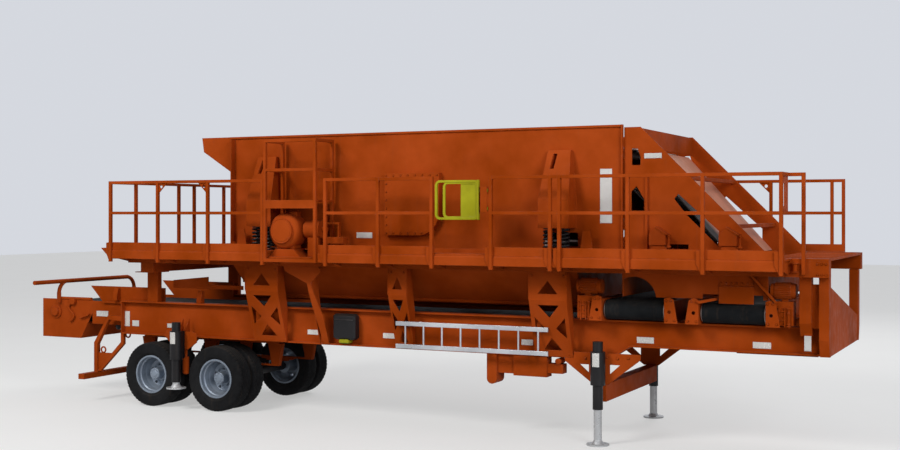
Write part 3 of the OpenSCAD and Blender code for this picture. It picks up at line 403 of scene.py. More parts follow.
def makeMotor():
    # Radius and height pairs from the face plate to the shaft, with quarter rounds at shoulder and heel
    x, y, z = motor["place"]
    body, face, long, shaft = motor["radius"], motor["faceRadius"], motor["length"], motor["shaftRadius"]
    bend = np.linspace(0, np.pi / 2, 10)
    reach = face + 0.012 + (body - face - 0.012) * np.sin(bend)
    shoulder = np.stack([reach, 0.050 + 0.075 * (1 - np.cos(bend))], -1)
    heel = np.stack([body - 0.05 * (1 - np.cos(bend)), long - 0.10 + 0.10 * np.sin(bend)], -1)
    plate = [(0.004, 0.002), (0.05, 0.0), (0.150, 0.0), (0.156, 0.006), (0.166, 0.006), (0.172, 0.0),
             (face - 0.008, 0.0), (face, 0.008), (face, 0.044), (face + 0.006, 0.048)]
    stub = [(shaft, long + 0.002), (shaft, long + 0.08), (0.004, long + 0.08)]
    casing = turned(np.concatenate([plate, shoulder, heel, stub]), (x, y, z), "y", 64)
    (front, back), half = motor["footSpan"], motor["footHalf"]
    feet = [softBlock((x + s - half, front, motor["footLow"]), (x + s + half, back, z - 0.20), 0.008)
            for s in motor["feet"]]
    corners = zip(motor["leads"], motor["leadsSpan"], motor["leadsLevels"])
    leads = softBlock(*((x + a, b, z + c) for a, b, c in corners), 0.01)
    return [casing, *feet, leads]


addPiece("motor_casing", makeMotor(), "orange_paint", replaced=("drive_motor",))
print("motor done")

# Top deck cloth: wires that pass over and under each other
cloth = dict(pitch=0.098, wire=0.010, sway=0.55, low=(-2.32, -1.255), high=(3.85, 1.255), height=3.912)


def makeCloth():
    # Height of a wire = amplitude x sin along it, and every second wire has the opposite sign
    pitch, wire, low, high = cloth["pitch"], cloth["wire"], cloth["low"], cloth["high"]
    angle = np.array([0.25, 0.75, 1.25, 1.75]) * np.pi
    parts = []
    for axis in (0, 1):
        other = 1 - axis
        rows = np.arange(low[other] + pitch / 2, high[other], pitch)
        along = np.arange(low[axis], high[axis] + pitch / 4, pitch / 3)
        sway = np.sin((along - low[axis]) * np.pi / pitch) * wire * cloth["sway"]
        ring = np.empty((len(along), 4, 3))
        ring[:, :, axis] = along[:, None]
        ring[:, :, other] = wire * 0.5 * np.cos(angle)[None] * (1 if axis == 0 else -1)
        ring[:, :, 2] = cloth["height"] + wire * 0.5 * np.sin(angle)[None] + sway[:, None]
        opposite = ring - spread(2 * sway, 2)[:, None]
        for first, strand in enumerate((ring, opposite)):
            parts.append(copies(ringSolid(strand), spread(rows[first::2], other)))
    return parts


addPiece("deck_cloth", makeCloth(), "bare_steel", "screen_box", 60)
print("cloth done")

# Walkway grating: bearing bars along the walk and cross bars between them, as (low corner, high corner)
grating = dict(barPitch=0.042, barWidth=0.006, crossPitch=0.100, crossWidth=0.008, depth=0.008, top=2.506,
               walks=[((-4.20, -1.79), (-1.38, -1.42)), ((-0.46, -1.79), (6.02, -1.42)),
                      ((-4.20, 1.42), (6.17, 1.79)), ((-4.20, -1.24), (-2.94, 1.24)),
                      ((5.77, -1.24), (6.47, 1.24))])


def makeGrating(low, high):
    # Thin blocks copied at an even pitch both ways
    top, bottom = grating["top"], grating["top"] - grating["depth"]
    bar, cross = grating["barWidth"] / 2, grating["crossWidth"] / 2
    rows = np.arange(low[1] + 0.02, high[1], grating["barPitch"])
    crosses = np.arange(low[0] + 0.05, high[0], grating["crossPitch"])
    lengthwise = softBlock((low[0], -bar, bottom), (high[0], bar, top), 0.001)
    crosswise = softBlock((-cross, low[1], bottom), (cross, high[1], top - 0.001), 0.001)
    return [copies(lengthwise, spread(rows, 1)), copies(crosswise, spread(crosses))]


bars = [part for low, high in grating["walks"] for part in makeGrating(low, high)]
addPiece("walkway_grating", bars, "orange_paint")
print("grating done")

# Edges of the walkways: a strip along the lower half of the edge plate and a wedge bracket beside every post
edgeTrim = dict(
    face=1.805, fold=2.462, low=2.349, foldDepth=0.016, foldRise=1.4,
    nearRuns=((-4.22, -1.38), (-0.46, 6.02)), farRun=(-4.22, 6.17),
    bracketGap=0.022, bracketWidth=0.060, bracketDepth=0.030, bracketLevels=(2.600, 2.590, 2.430, 2.305),
    nearPosts=(-4.210, -3.293, -2.363, -0.327, 0.524, 1.353, 2.228, 3.064, 3.191, 4.106, 5.056, 5.999),
    farPosts=(-3.290, -2.360, -1.400, -0.430, 0.540, 1.510, 2.480, 3.400, 4.250, 5.126, 6.000, 6.160),
)


def makeEdgeTrim():
    # A profile with a leaning top carried along X, and one wedge copied to the posts
    face, fold, low, deep = edgeTrim["face"], edgeTrim["fold"], edgeTrim["low"], edgeTrim["foldDepth"]
    lean = fold + edgeTrim["foldRise"] * deep
    profile = [(-face, lean), (-face - deep, fold), (-face - deep, low), (-face, low)]
    folds = [panel(profile, 0, *run) for run in edgeTrim["nearRuns"]]
    folds.append(mirrored(panel(profile, 0, *edgeTrim["farRun"])))
    x0 = -edgeTrim["bracketGap"]
    x1 = x0 - edgeTrim["bracketWidth"]
    outline = list(zip((x0, x1, x1, x0), edgeTrim["bracketLevels"]))
    wedge = panel(outline, 1, -face - edgeTrim["bracketDepth"], -face)
    near, far = copies(wedge, spread(edgeTrim["nearPosts"])), copies(wedge, spread(edgeTrim["farPosts"]))
    return folds + [near, mirrored(far)]


addPiece("edge_trim", makeEdgeTrim(), "orange_paint")

# Gate: a square stile at its hinge side and a cover over the hinge arms, with a sill under it on the walkway
gate = dict(line=-1.827, stile=(2.026, 2.062), stileHalf=0.021, levels=(2.959, 3.491), cover=(2.078, 2.188),
            coverLevels=(3.060, 3.400), coverSpan=(0.034, 0.027), returnWidth=0.012, returnDepth=0.013,
            sill=((1.080, -1.418, 2.500), (2.230, -1.404, 2.562)))


def makeStile():
    # One block from the lower arm to the upper one
    line, half, (x0, x1), (z0, z1) = gate["line"], gate["stileHalf"], gate["stile"], gate["levels"]
    return [softBlock((x0, line - half, z0), (x1, line + half, z1), 0.004)]


def makeHingeCover():
    # A front plate and the return along its edge
    line, (x0, x1), (z0, z1) = gate["line"], gate["cover"], gate["coverLevels"]
    front, back = (line - reach for reach in gate["coverSpan"])
    edge = (x0 + gate["returnWidth"], line + gate["returnDepth"], z1)
    return [softBlock((x0, front, z0), (x1, back, z1), 0.002), softBlock((x0, front, z0), edge, 0.002)]


addPiece("gate_stile", makeStile(), "safety_yellow", "gate")
addPiece("gate_hinge_cover", makeHingeCover(), "orange_paint", "gate")
addPiece("gate_sill", [softBlock(*gate["sill"], 0.002)], "orange_paint")

# Plain plates and reflective strips: thin blocks as (x0, x1, z0, z1, face), the strips on both sides
plates = dict(
    strips=[(-1.118, -0.888, 1.240, 1.313, 1.047), (0.169, 0.374, 1.240, 1.316, 1.047),
            (2.339, 2.509, 1.243, 1.321, 1.047), (3.978, 4.210, 1.344, 1.426, 1.047),
            (5.492, 5.721, 1.347, 1.429, 1.047), (-5.311, -5.062, 1.349, 1.440, 0.912)],
    blanks=[(-4.599, -4.497, 1.225, 1.468, 1.047), (-4.447, -4.308, 1.231, 1.326, 1.047),
            (6.155, 6.240, 1.360, 1.548, 1.210), (-3.742, -3.621, 1.234, 1.302, 1.047),
            (4.149, 4.382, 3.754, 3.821, 1.274)],
    boxBlanks=[(3.552, 3.717, 2.917, 3.629, 1.280), (-0.137, 0.123, 2.690, 2.772, 1.280)],
    depth=0.003,
)


def makePlates(spots):
    # Each block stands out from its face by the depth
    return [softBlock((x0, -face - plates["depth"], z0), (x1, -face, z1), 0.001)
            for x0, x1, z0, z1, face in spots]


strips = makePlates(plates["strips"])
addPiece("reflective_strips", strips + [mirrored(strip) for strip in strips], "reflector")
addPiece("blank_plates", makePlates(plates["blanks"]), "plain_plate")
addPiece("blank_box_plates", makePlates(plates["boxBlanks"]), "plain_plate", "screen_box")
print("plates done")

# Box for papers: black case with round edges and a lip, and a yellow latch under it
paperBox = dict(case=((-0.590, -1.205, 1.205), (-0.215, -1.047, 1.576)), edge=0.028,
                lip=((-0.575, -1.211, 1.48), (-0.230, -1.10, 1.50)), lipEdge=0.006,
                latch=((-0.49, -1.20, 1.150), (-0.325, -1.06, 1.208)), latchEdge=0.012)
case = [softBlock(*paperBox["case"], paperBox["edge"]), softBlock(*paperBox["lip"], paperBox["lipEdge"])]
addPiece("paper_box", case, "black_paint", replaced=("manual_box",))
addPiece("paper_box_latch", [softBlock(*paperBox["latch"], paperBox["latchEdge"])], "safety_yellow")

# Bolts: heads in rows on the legs, bearing plates, chute skirt, jack brackets and deck frame ends
supportLegs = ((-1.71, 0.58), (0.588, 0.295), (2.857, 0.54))  # middle and width of each
bolts = dict(
    radius=0.013, height=0.014, legInset=0.045, legRows=((-1.1525, 1.160), (-1.3945, 2.215)),
    bearings=((3.582, -1), (4.422, 1), (4.868, -1), (5.708, 1)), bearingFace=-1.314,
    bearingHoles=((0.030, 1.68), (0.135, 1.68), (0.030, 1.93), (0.090, 1.93)),
    skirtRow=(5.14, 5.54, 7), skirtPlace=(-1.262, 2.170), jackSize=0.016, jackFace=-1.150,
    jackHoles=((3.30, 1.12), (3.42, 1.15), (3.60, 1.15), (3.75, 1.14), (3.90, 1.15)),
    endColumns=(6.345, 6.395, 6.445), endFace=-1.400, endLevels=(2.305, 2.435),
)


def makeBolts():
    # One head copied to every place, and the rows mirrored, apart from the skirt's
    head = boltHead(bolts["radius"], bolts["height"])
    spots = [(x + s * (wide / 2 - bolts["legInset"]), y, z)
             for x, wide in supportLegs for y, z in bolts["legRows"] for s in (-1, 1)]
    spots += [(x + s * a, bolts["bearingFace"], z)
              for x, s in bolts["bearings"] for a, z in bolts["bearingHoles"]]
    near = copies(head, spots)
    skirt = copies(head, [(x, *bolts["skirtPlace"]) for x in np.linspace(*bolts["skirtRow"])])
    jackHead = boltHead(bolts["jackSize"], bolts["jackSize"])
    jack = copies(jackHead, [(x, bolts["jackFace"], z) for x, z in bolts["jackHoles"]])
    ends = copies(head, [(x, bolts["endFace"], z) for x in bolts["endColumns"] for z in bolts["endLevels"]])
    return [near, mirrored(near), skirt, jack, mirrored(jack), ends, mirrored(ends)]


addPiece("painted_bolts", makeBolts(), "orange_paint")

# Cover bolts round the exciter covers, which move with the screen box
coverBolts = dict(low=(0.400, 2.765), high=(1.205, 3.580), face=-1.370, count=8, size=0.012,
                  cornerCentre=(0.905, 3.066), cornerRadius=0.30, cornerTurn=(0.2, 1.37, 3))


def makeCoverBolts():
    # Rows along the four edges, and an arc at the rounded corner
    (x0, z0), (x1, z1), count = coverBolts["low"], coverBolts["high"], coverBolts["count"]
    (x, z), radius = coverBolts["cornerCentre"], coverBolts["cornerRadius"]
    across, up = np.linspace(x0, x1, count), np.linspace(z0, z1, count)
    bend = np.linspace(*coverBolts["cornerTurn"])
    rows = [(across, z1), (across[:5], z0), (x0, up[1:-1]), (x1, up[3:-1]),
            (x + radius * np.sin(bend), z - radius * np.cos(bend))]
    flat = np.concatenate([np.stack(np.broadcast_arrays(*row), -1) for row in rows])
    near = copies(boltHead(coverBolts["size"], coverBolts["size"]), np.insert(flat, 1, coverBolts["face"], 1))
    return [near, mirrored(near)]


addPiece("cover_bolts", makeCoverBolts(), "orange_paint", "screen_box")
print("bolts done")

# Cross conveyor motors: casings with lengthwise fins
finned = dict(casing=0.096, fin=0.012, fins=26, line=(-1.15, 2.085), runs=((3.200, 3.545), (5.745, 6.055)))


def makeFinned(start, end):
    # Radius = casing + fin height where the square wave is up, on the rings marked 1
    (y, z), casing = finned["line"], finned["casing"]
    turn = np.linspace(0, 2 * np.pi, finned["fins"] * 4, endpoint=False)
    wave = (np.arange(len(turn)) % 4 < 2) * finned["fin"]
    stations = [(start, 0.070, 0), (start + 0.012, 0.090, 0), (start + 0.05, casing, 0),
                (start + 0.052, casing, 1), (end - 0.062, casing, 1), (end - 0.060, casing, 0),
                (end - 0.02, 0.098, 0), (end, 0.080, 0)]
    x, radius, on = np.array(stations).T[:, :, None]
    reach = radius + on * wave
    return ringSolid(np.stack([x + 0 * reach, y + reach * np.cos(turn), z + reach * np.sin(turn)], -1))


addPiece("cross_motor_fins", [makeFinned(*run) for run in finned["runs"]], "orange_paint")

# Fittings on the cross conveyor drives: ribs, bars and bolts on the case, and a take-up rod with its nuts
drives = dict(
    cases=((3.225, 3.430), (5.810, 6.015)), face=-1.240, levels=(1.640, 1.890), ribWidth=0.014,
    ribInset=(0.045, 0.085), rodRadius=0.010, boltSize=0.010,
    stem=((1, 0), (1, 0.12), (2, 0.12), (2, 0.20), (1, 0.20),
          (1, 0.66), (2, 0.66), (2, 0.74), (1, 0.74), (1, 1)),
)


def makeDriveFittings(x0, x1):
    # Blocks on the case's face, and the rod as shares of its radius and length turned about Z
    face, (z0, z1), wide, size = drives["face"], drives["levels"], drives["ribWidth"], drives["boltSize"]
    left, right = x0 + drives["ribInset"][0], x1 - drives["ribInset"][1]
    ribs = [softBlock((x - wide / 2, face - 0.020, z0), (x + wide / 2, face, z1), 0.002)
            for x in (left, right)]
    bars = [softBlock((left, face - wide, z), (right, face, z + wide), 0.002)
            for z in (z0 + 0.08, z1 - 0.06)]
    lugs = [softBlock((x1 - 0.060, face - 0.044, z), (x1 - 0.010, face, z + 0.012), 0.002)
            for z in (z0 + 0.01, z1 - 0.02)]
    stem = np.array(drives["stem"]) * (drives["rodRadius"], z1 - z0)
    rod = turned(stem, (x1 - 0.035, face - 0.024, z0), "z", 12)
    spots = [(x, face, z) for x in (x0 + 0.018, x1 - 0.110) for z in (z0 + 0.03, z0 + 0.13, z1 - 0.02)]
    return ribs + bars + lugs + [rod, copies(boltHead(size, size), spots)]


fittings = [part for case in drives["cases"] for part in makeDriveFittings(*case)]
addPiece("drive_fittings", fittings, "orange_paint")

# Fittings on the discharge side: skirt plate, sloping angle, flap, spring boxes, roller and post plate
discharge = dict(
    skirt=(5.111, 5.552, 1.912, 2.326), skirtFace=(-1.262, -1.250), ledge=(2.125, 2.137), ledgeFront=-1.275,
    slope=((5.494, 2.276), (5.804, 1.946)), slopeWidth=0.055, slopeThick=0.012, slopeFront=-1.320,
    flap=((4.83, 1.935), (5.085, 1.985), (5.10, 1.955), (4.88, 1.905)), flapSpan=(-1.345, -1.255),
    boxes=((4.255, 4.470), (5.150, 5.375)), boxLevels=(2.640, 2.770, 2.872), boxSpan=(-1.420, -1.275),
    boxRidge=0.45, footLevel=2.500, rollerPlace=(6.085, -1.44, 2.330),
    roller=((0.045, 0), (0.050, 0.008), (0.028, 0.016), (0.028, 0.100), (0.050, 0.108), (0.045, 0.118)),
    screw=((0.026, 0), (0.026, 0.02), (0.012, 0.024), (0.012, 0.125), (0.022, 0.128), (0.022, 0.150)),
    postPlate=((6.152, -1.207, 1.350), (6.243, -1.190, 1.700)),
)


def springBox(x0, x1):
    # Gabled housing with an overhanging roof plate, a screw beside it, and a stool with its foot plate
    z0, eaves, ridge = discharge["boxLevels"]
    (front, back), foot = discharge["boxSpan"], discharge["footLevel"]
    top = x0 + discharge["boxRidge"] * (x1 - x0)
    house = [(x0, z0), (x0, eaves + 0.01), (top, ridge), (x1, eaves), (x1, z0)]
    roof = [(top - 0.012, ridge + 0.008), (x1 + 0.020, eaves + 0.012),
            (x1 + 0.014, eaves - 0.002), (top - 0.018, ridge - 0.004)]
    stool = [(x0 - 0.02, foot + 0.014), (x1 + 0.08, foot + 0.014),
             (x1 - 0.03, z0 + 0.004), (x0 + 0.05, z0 + 0.004)]
    spots = [(x, front - 0.005, foot + 0.016) for x in (x0 - 0.03, x0 + 0.08, x1 + 0.06)]
    return [
        panel(house, 1, front, back),
        panel(roof, 1, front - 0.012, back),
        turned(discharge["screw"], (x1 + 0.032, front + 0.045, z0 - 0.02), "z", 12),
        softBlock((x1 - 0.02, front + 0.02, z0 - 0.03), (x1 + 0.062, front + 0.07, z0 - 0.018), 0.003),
        panel(stool, 1, front + 0.02, back),
        softBlock((x0 - 0.05, front - 0.02, foot), (x1 + 0.11, back, foot + 0.016), 0.004),
        copies(boltHead(0.014, 0.020, "z", 1), spots),
    ]


def makeDischarge():
    # Outlines pushed across the plant, blocks, and the roller's profile turned about Z
    (x0, x1, z0, z1), (front, back) = discharge["skirt"], discharge["skirtFace"]
    low, high = discharge["ledge"]
    (a, b), (c, d) = discharge["slope"]
    wide, thick, edge = discharge["slopeWidth"], discharge["slopeThick"], discharge["slopeFront"]
    return [
        softBlock((x0, front, z0), (x1, back, z1), 0.003),
        softBlock((x0, discharge["ledgeFront"], low), (x1, back, high), 0.003),
        panel([(a, b), (a + wide, b), (c + wide, d), (c, d)], 1, edge, edge + thick),
        panel([(a, b), (a + thick, b), (c + thick, d), (c, d)], 1, edge, front),
        panel(discharge["flap"], 1, *discharge["flapSpan"]),
        *(part for box in discharge["boxes"] for part in springBox(*box)),
        turned(discharge["roller"], discharge["rollerPlace"], "z", 20),
        softBlock(*discharge["postPlate"], 0.003),
    ]


addPiece("discharge_fittings", makeDischarge(), "orange_paint")
print("discharge done")

# Long conveyor: skirt brackets, the tail deflector, the hopper's edge pipes, a rail, and return rollers
conveyor = dict(
    skirtFace=0.930, bracketSpots=(-4.84, -3.15), bracketHalf=0.045,
    bracket=((0, 1.628), (0.085, 1.628), (0.085, 1.70), (0.045, 1.824), (0, 1.824)),
    deflector=((-3.70, 1.860), (-2.36, 1.860), (-2.36, 1.925),
               (-3.02, 1.925), (-3.02, 2.050), (-3.70, 1.985)), deflectorFace=0.945, pipeRadius=0.028,
    pipe=((-2.34, -0.735, 1.795), (0.0, -0.735, 1.795), (1.0, -0.735, 1.7951), (3.19, -0.735, 1.795)),
    rail=((0, 1.575), (0.025, 1.575), (0.025, 1.605), (0, 1.605)), railRun=(-5.15, -3.91),
    rollers=(-5.0, 2.9, 0.90), rollRadius=0.055, rollHalf=0.745, rollLevel=1.182,
)


def makeConveyorTrim():
    # Outlines pushed along X or Y, and a circle carried along the hopper's edge
    face, half = conveyor["skirtFace"], conveyor["bracketHalf"]
    bracket, rail = ([(-face - out, z) for out, z in conveyor[key]] for key in ("bracket", "rail"))
    near = [copies(panel(bracket, 0, -half, half), spread(conveyor["bracketSpots"])),
            panel(conveyor["deflector"], 1, -conveyor["deflectorFace"], -face),
            pipe(conveyor["pipe"], conveyor["pipeRadius"], 12),
            panel(rail, 0, *conveyor["railRun"])]
    return near + [mirrored(part) for part in near]


def makeRollers():
    # One turned roller with tapered ends, copied at an even pitch
    wide, half = conveyor["rollRadius"], conveyor["rollHalf"]
    profile = [(0.02, -half - 0.015), (wide, -half), (wide, half), (0.02, half + 0.015)]
    roller = turned(profile, (0, 0, conveyor["rollLevel"]), "y", 20)
    return [copies(roller, spread(np.arange(*conveyor["rollers"])))]


addPiece("conveyor_trim", makeConveyorTrim(), "orange_paint")
addPiece("return_idlers", makeRollers(), "black_paint")

# Conveyor head: flanged bearings on both cheeks, and a boss with a bent pipe and a guard on the near one
headDrive = dict(
    shaft=(-6.180, 1.400), face=-0.912, boltCircle=0.088, bolts=4, boltReach=0.018,
    flange=((0.115, 0.0), (0.115, 0.018), (0.075, 0.022), (0.070, 0.055), (0.045, 0.060), (0.006, 0.060)),
    boss=((0.06, 0), (0.06, 0.05), (0.03, 0.055), (0.004, 0.055)), bossPlace=(-5.80, 1.585),
    pipeTop=(-5.80, 1.575), pipeFall=(0.06, 0.33), pipeSway=0.07, pipeReach=0.030, pipeRadius=0.016,
    guard=((-5.64, 1.30), (-5.44, 1.36), (-5.44, 1.385), (-5.64, 1.33)), guardReach=0.05,
)


def makeHeadDrive():
    # Turned flange and boss; the pipe sways by one sine wave on its way down
    (x, z), face = headDrive["shaft"], headDrive["face"]
    flange = turned(headDrive["flange"], (x, face, z), "y", 32, -1)
    middle = (x, face - headDrive["boltReach"], z)
    spots = circleSpots(middle, headDrive["boltCircle"], headDrive["bolts"], math.pi / 4)
    heads = copies(boltHead(0.012, 0.014), spots)
    run = np.linspace(0, 1, 24)
    (top, high), (back, down) = headDrive["pipeTop"], headDrive["pipeFall"]
    bendy = np.stack([top - headDrive["pipeSway"] * np.sin(run * 2 * np.pi) - back * run,
                      0 * run + face - headDrive["pipeReach"], high - down * run], -1)
    x, z = headDrive["bossPlace"]
    boss = turned(headDrive["boss"], (x, face, z), "y", 20, -1)
    guard = panel(headDrive["guard"], 1, face - headDrive["guardReach"], face)
    bent = pipe(bendy, headDrive["pipeRadius"])
    return [flange, mirrored(flange), heads, mirrored(heads), bent, boss, guard]


addPiece("head_drive", makeHeadDrive(), "orange_paint")
print("conveyor done")

# Labels wrapped on the jack collars
jackLabels = dict(spots=((3.51, -1.25), (-3.302, -1.38)), radius=0.0985, thick=0.0025, sink=0.001,
                  levels=(1.035, 1.215), turn=(-2.05, -1.05, 12))


def makeJackLabels():
    # An arc out and back again at a smaller radius, carried up
    out = np.linspace(*jackLabels["turn"])
    angle = np.concatenate([out, out[::-1]])
    outer, inner = jackLabels["radius"] + jackLabels["thick"], jackLabels["radius"] - jackLabels["sink"]
    radius = np.repeat([outer, inner], len(out))
    parts = []
    for x, y in jackLabels["spots"]:
        ring = np.stack([x + radius * np.cos(angle), y + radius * np.sin(angle), 0 * angle], -1)
        parts.append(ringSolid(np.stack([ring + (0, 0, z) for z in jackLabels["levels"]])))
    return parts + [mirrored(part) for part in parts]


addPiece("jack_labels", makeJackLabels(), "reflector")

# Rear fittings: gussets and rings at the bumper's corners, and air cylinders on straps by the rear jacks
rearFittings = dict(
    gusset=((-5.160, 0.470), (-5.160, 0.775), (-4.830, 0.775)), gussetSpan=(-1.048, -1.034),
    rings=((-5.050, -1.041, 0.822), (-4.574, -1.000, 1.085)), ringRadius=0.045, ringWire=0.013,
    cylinder=(-3.242, -1.215), levels=(0.545, 0.825), radius=0.050, strapHalf=(0.022, 0.012), strapTop=1.06,
    armLevels=(0.98, 1.04), armEnd=-1.262,
)


def makeRearFittings():
    # Rings: a circle of wire turned about Y. Cylinder: radius and height pairs turned about Z
    (x, y), (z0, z1), wide = rearFittings["cylinder"], rearFittings["levels"], rearFittings["radius"]
    (halfX, halfY), (low, high) = rearFittings["strapHalf"], rearFittings["armLevels"]
    profile = [(wide * 0.5, z0), (wide * 0.92, z0 + 0.012), (wide, z0 + 0.03), (wide, z1 - 0.03),
               (wide * 0.92, z1 - 0.012), (wide * 0.4, z1), (wide * 0.4, z1 + 0.03)]
    angle = np.linspace(0, 2 * np.pi, 10, endpoint=False)
    thick = rearFittings["ringWire"]
    wire = np.stack([rearFittings["ringRadius"] + thick * np.cos(angle), thick * np.sin(angle)], -1)
    strapTop = (x + halfX, y + halfY, rearFittings["strapTop"])
    near = [panel(rearFittings["gusset"], 1, *rearFittings["gussetSpan"]),
            *(turned(wire[::-1], spot, "y", 28, closed=True) for spot in rearFittings["rings"]),
            turned(profile, (x, y, 0), "z", 24),
            softBlock((x - halfX, y - halfY, z1 + 0.01), strapTop, 0.003),
            softBlock((x - halfX, rearFittings["armEnd"], low), (x + halfX, y + halfY, high), 0.003)]
    return near + [mirrored(part) for part in near]


addPiece("rear_fittings", makeRearFittings(), "orange_paint")
print("small fittings done")

# Weld beads: a small round bead with ripples, carried along a straight seam
weld = dict(
    size=0.007, ripple=0.0015, rippleTurn=2.2, step=0.012, sharp=80, railFace=-1.047, railRun=(-4.59, 3.60),
    railLevels=(1.132, 1.618), legFace=-1.394, legLevels=(1.90, 2.25), boxFace=-1.281, ribs=(-1.64, 3.005),
    ribHalf=(0.215, 0.160), ribLevels=(2.86, 3.23, 3.88), boxTop=((-2.34, 4.170), (3.84, 4.170)),
)


def bead(flatStart, flatEnd, y):
    # Radius = size + ripple x sin of the step number; the ends are given in X and Z
    start, end = (np.array((x, y, z), float) for x, z in (flatStart, flatEnd))
    long = np.linalg.norm(end - start)
    count = int(long / weld["step"]) + 2
    path = start + np.linspace(0, 1, count)[:, None] * (end - start)
    along = (end - start) / long
    side = np.cross(along, (0.0, 0.0, 1.0) if abs(along[2]) < 0.9 else (1.0, 0.0, 0.0))
    side /= np.linalg.norm(side)
    angle = np.linspace(0, 2 * np.pi, 6, endpoint=False)
    swell = weld["size"] + weld["ripple"] * np.sin(np.arange(count) * weld["rippleTurn"])
    ring = np.cos(angle)[:, None] * side + np.sin(angle)[:, None] * np.cross(along, side)
    return ringSolid(path[:, None] + swell[:, None, None] * ring[None])


def makeFrameWelds():
    # Along the rails' flanges, and up both edges of the support legs
    (x0, x1), (low, high), face = weld["railRun"], weld["legLevels"], weld["legFace"]
    seams = [bead((x0, z), (x1, z), weld["railFace"]) for z in weld["railLevels"]]
    edges = [x + s * wide / 2 for x, wide in supportLegs for s in (-1, 1)]
    seams += [bead((x, low), (x, high), face) for x in edges]
    return seams + [mirrored(seam) for seam in seams]


def makeBoxWelds():
    # Up both edges of the box's ribs, straight and then leaning in, and along its top
    (wide, narrow), (low, middle, high), face = weld["ribHalf"], weld["ribLevels"], weld["boxFace"]
    seams = []
    for x in weld["ribs"]:
        seams += [bead((x + s * wide, low), (x + s * wide, middle), face) for s in (-1, 1)]
        seams += [bead((x + s * wide, middle), (x + s * narrow, high), face) for s in (-1, 1)]
    seams.append(bead(*weld["boxTop"], face))
    return seams + [mirrored(seam) for seam in seams]


addPiece("frame_welds", makeFrameWelds(), "orange_paint", sharp=weld["sharp"])
addPiece("box_welds", makeBoxWelds(), "orange_paint", "screen_box", weld["sharp"])
print("welds done")

# Floor, light and camera
stageValues = dict(floorSize=120.0, floorTone=(0.48, 0.48, 0.475), floorGlow=0.43, floorRough=0.8,
                   floorGrain=0.6, skyColour=(0.9, 0.93, 1.0), worldPower=0.26, backdrop=0.74)
lights = dict(
    key=dict(place=(-6, -17, 15), target=(0, 0, 2), size=7.0, power=2400.0, colour=(1.0, 0.98, 0.95)),
    fill=dict(place=(18, -14, 9), target=(2, 0, 2), size=10.0, power=1900.0, colour=(0.95, 0.97, 1.0)),
    back=dict(place=(2, 16, 14), target=(0, 0, 3), size=10.0, power=950.0, colour=(1.0, 1.0, 1.0)),
)
photoCamera = dict(place=(8.97, -16.81, 3.05), turn=26.1, sensor=36, lens=53.88, zoom=0.925, lift=-0.0133,
                   far=400)


def seenRays(tree):
    # 1 for rays from the camera, reflections and glass, so that the pale ground doesn't light the object
    rays = tree.nodes.new("ShaderNodeLightPath").outputs
    total = rays["Is Camera Ray"]
    for name in ("Is Glossy Ray", "Is Transmission Ray"):
        add = tree.nodes.new("ShaderNodeMath")
        add.use_clamp = True
        tree.links.new(total, add.inputs[0])
        tree.links.new(rays[name], add.inputs[1])
        total = add.outputs["Value"]
    return total


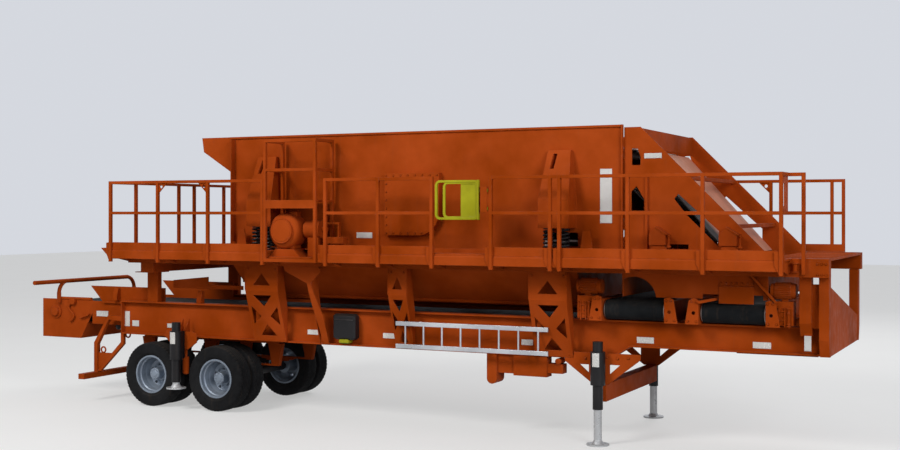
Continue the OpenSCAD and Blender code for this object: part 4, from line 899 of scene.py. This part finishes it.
def makeFloor():
    half = stageValues["floorSize"] / 2
    mesh = bpy.data.meshes.new("floor")
    corners = [(-half, -half, 0), (half, -half, 0), (half, half, 0), (-half, half, 0)]
    mesh.from_pydata(corners, [], [(0, 1, 2, 3)])
    floor = bpy.data.objects.new("floor", mesh)
    bpy.context.scene.collection.objects.link(floor)
    material = bpy.data.materials.new("floor")
    material.use_nodes = True
    tree = material.node_tree
    shader = tree.nodes["Principled BSDF"]
    shader.inputs["Roughness"].default_value = stageValues["floorRough"]
    noise = tree.nodes.new("ShaderNodeTexNoise")
    noise.inputs["Scale"].default_value = stageValues["floorGrain"]
    tone = tree.nodes.new("ShaderNodeMix")
    tone.data_type = "RGBA"
    tone.inputs["A"].default_value = (*stageValues["floorTone"], 1)
    tone.inputs["B"].default_value = (*(c * 0.94 for c in stageValues["floorTone"]), 1)
    tree.links.new(tree.nodes.new("ShaderNodeTexCoord").outputs["Object"], noise.inputs["Vector"])
    tree.links.new(noise.outputs["Fac"], tone.inputs["Factor"])
    tree.links.new(tone.outputs["Result"], shader.inputs["Base Color"])
    glow = tree.nodes.new("ShaderNodeMath")
    glow.operation = "MULTIPLY"
    glow.inputs[1].default_value = stageValues["floorGlow"]
    tree.links.new(seenRays(tree), glow.inputs[0])
    shader.inputs["Emission Color"].default_value = (1, 1, 0.99, 1)
    tree.links.new(glow.outputs["Value"], shader.inputs["Emission Strength"])
    mesh.materials.append(material)


def makeLight(name, place, target, size, power, colour):
    # A round lamp turned so that it looks at its target
    data = bpy.data.lights.new(name, "AREA")
    data.shape = "DISK"
    data.size, data.energy, data.color = size, power, colour
    light = bpy.data.objects.new(name, data)
    bpy.context.scene.collection.objects.link(light)
    light.location = place
    aim = np.subtract(target, place)
    tilt = math.acos(-aim[2] / np.linalg.norm(aim))
    light.rotation_euler = (tilt, 0, math.atan2(aim[1], aim[0]) - math.pi / 2)


makeFloor()
for name, values in lights.items():
    makeLight(name, **values)
world = bpy.data.worlds.new("studio")
bpy.context.scene.world = world
world.use_nodes = True
sky = world.node_tree.nodes["Background"]
sky.inputs["Color"].default_value = (*stageValues["skyColour"], 1)
strength = world.node_tree.nodes.new("ShaderNodeMapRange")
strength.inputs["To Min"].default_value = stageValues["worldPower"]
strength.inputs["To Max"].default_value = stageValues["backdrop"]
world.node_tree.links.new(seenRays(world.node_tree), strength.inputs["Value"])
world.node_tree.links.new(strength.outputs["Result"], sky.inputs["Strength"])

camera = bpy.data.objects.new("camera", bpy.data.cameras.new("camera"))
bpy.context.scene.collection.objects.link(camera)
camera.location = photoCamera["place"]
camera.rotation_euler = (math.pi / 2, 0, math.radians(photoCamera["turn"]))
camera.data.sensor_width = photoCamera["sensor"]
camera.data.lens = photoCamera["lens"] * photoCamera["zoom"]
camera.data.shift_y = photoCamera["lift"]
camera.data.clip_end = photoCamera["far"]
bpy.context.scene.camera = camera
bpy.context.scene.view_settings.view_transform = "Standard"
print("stage done")
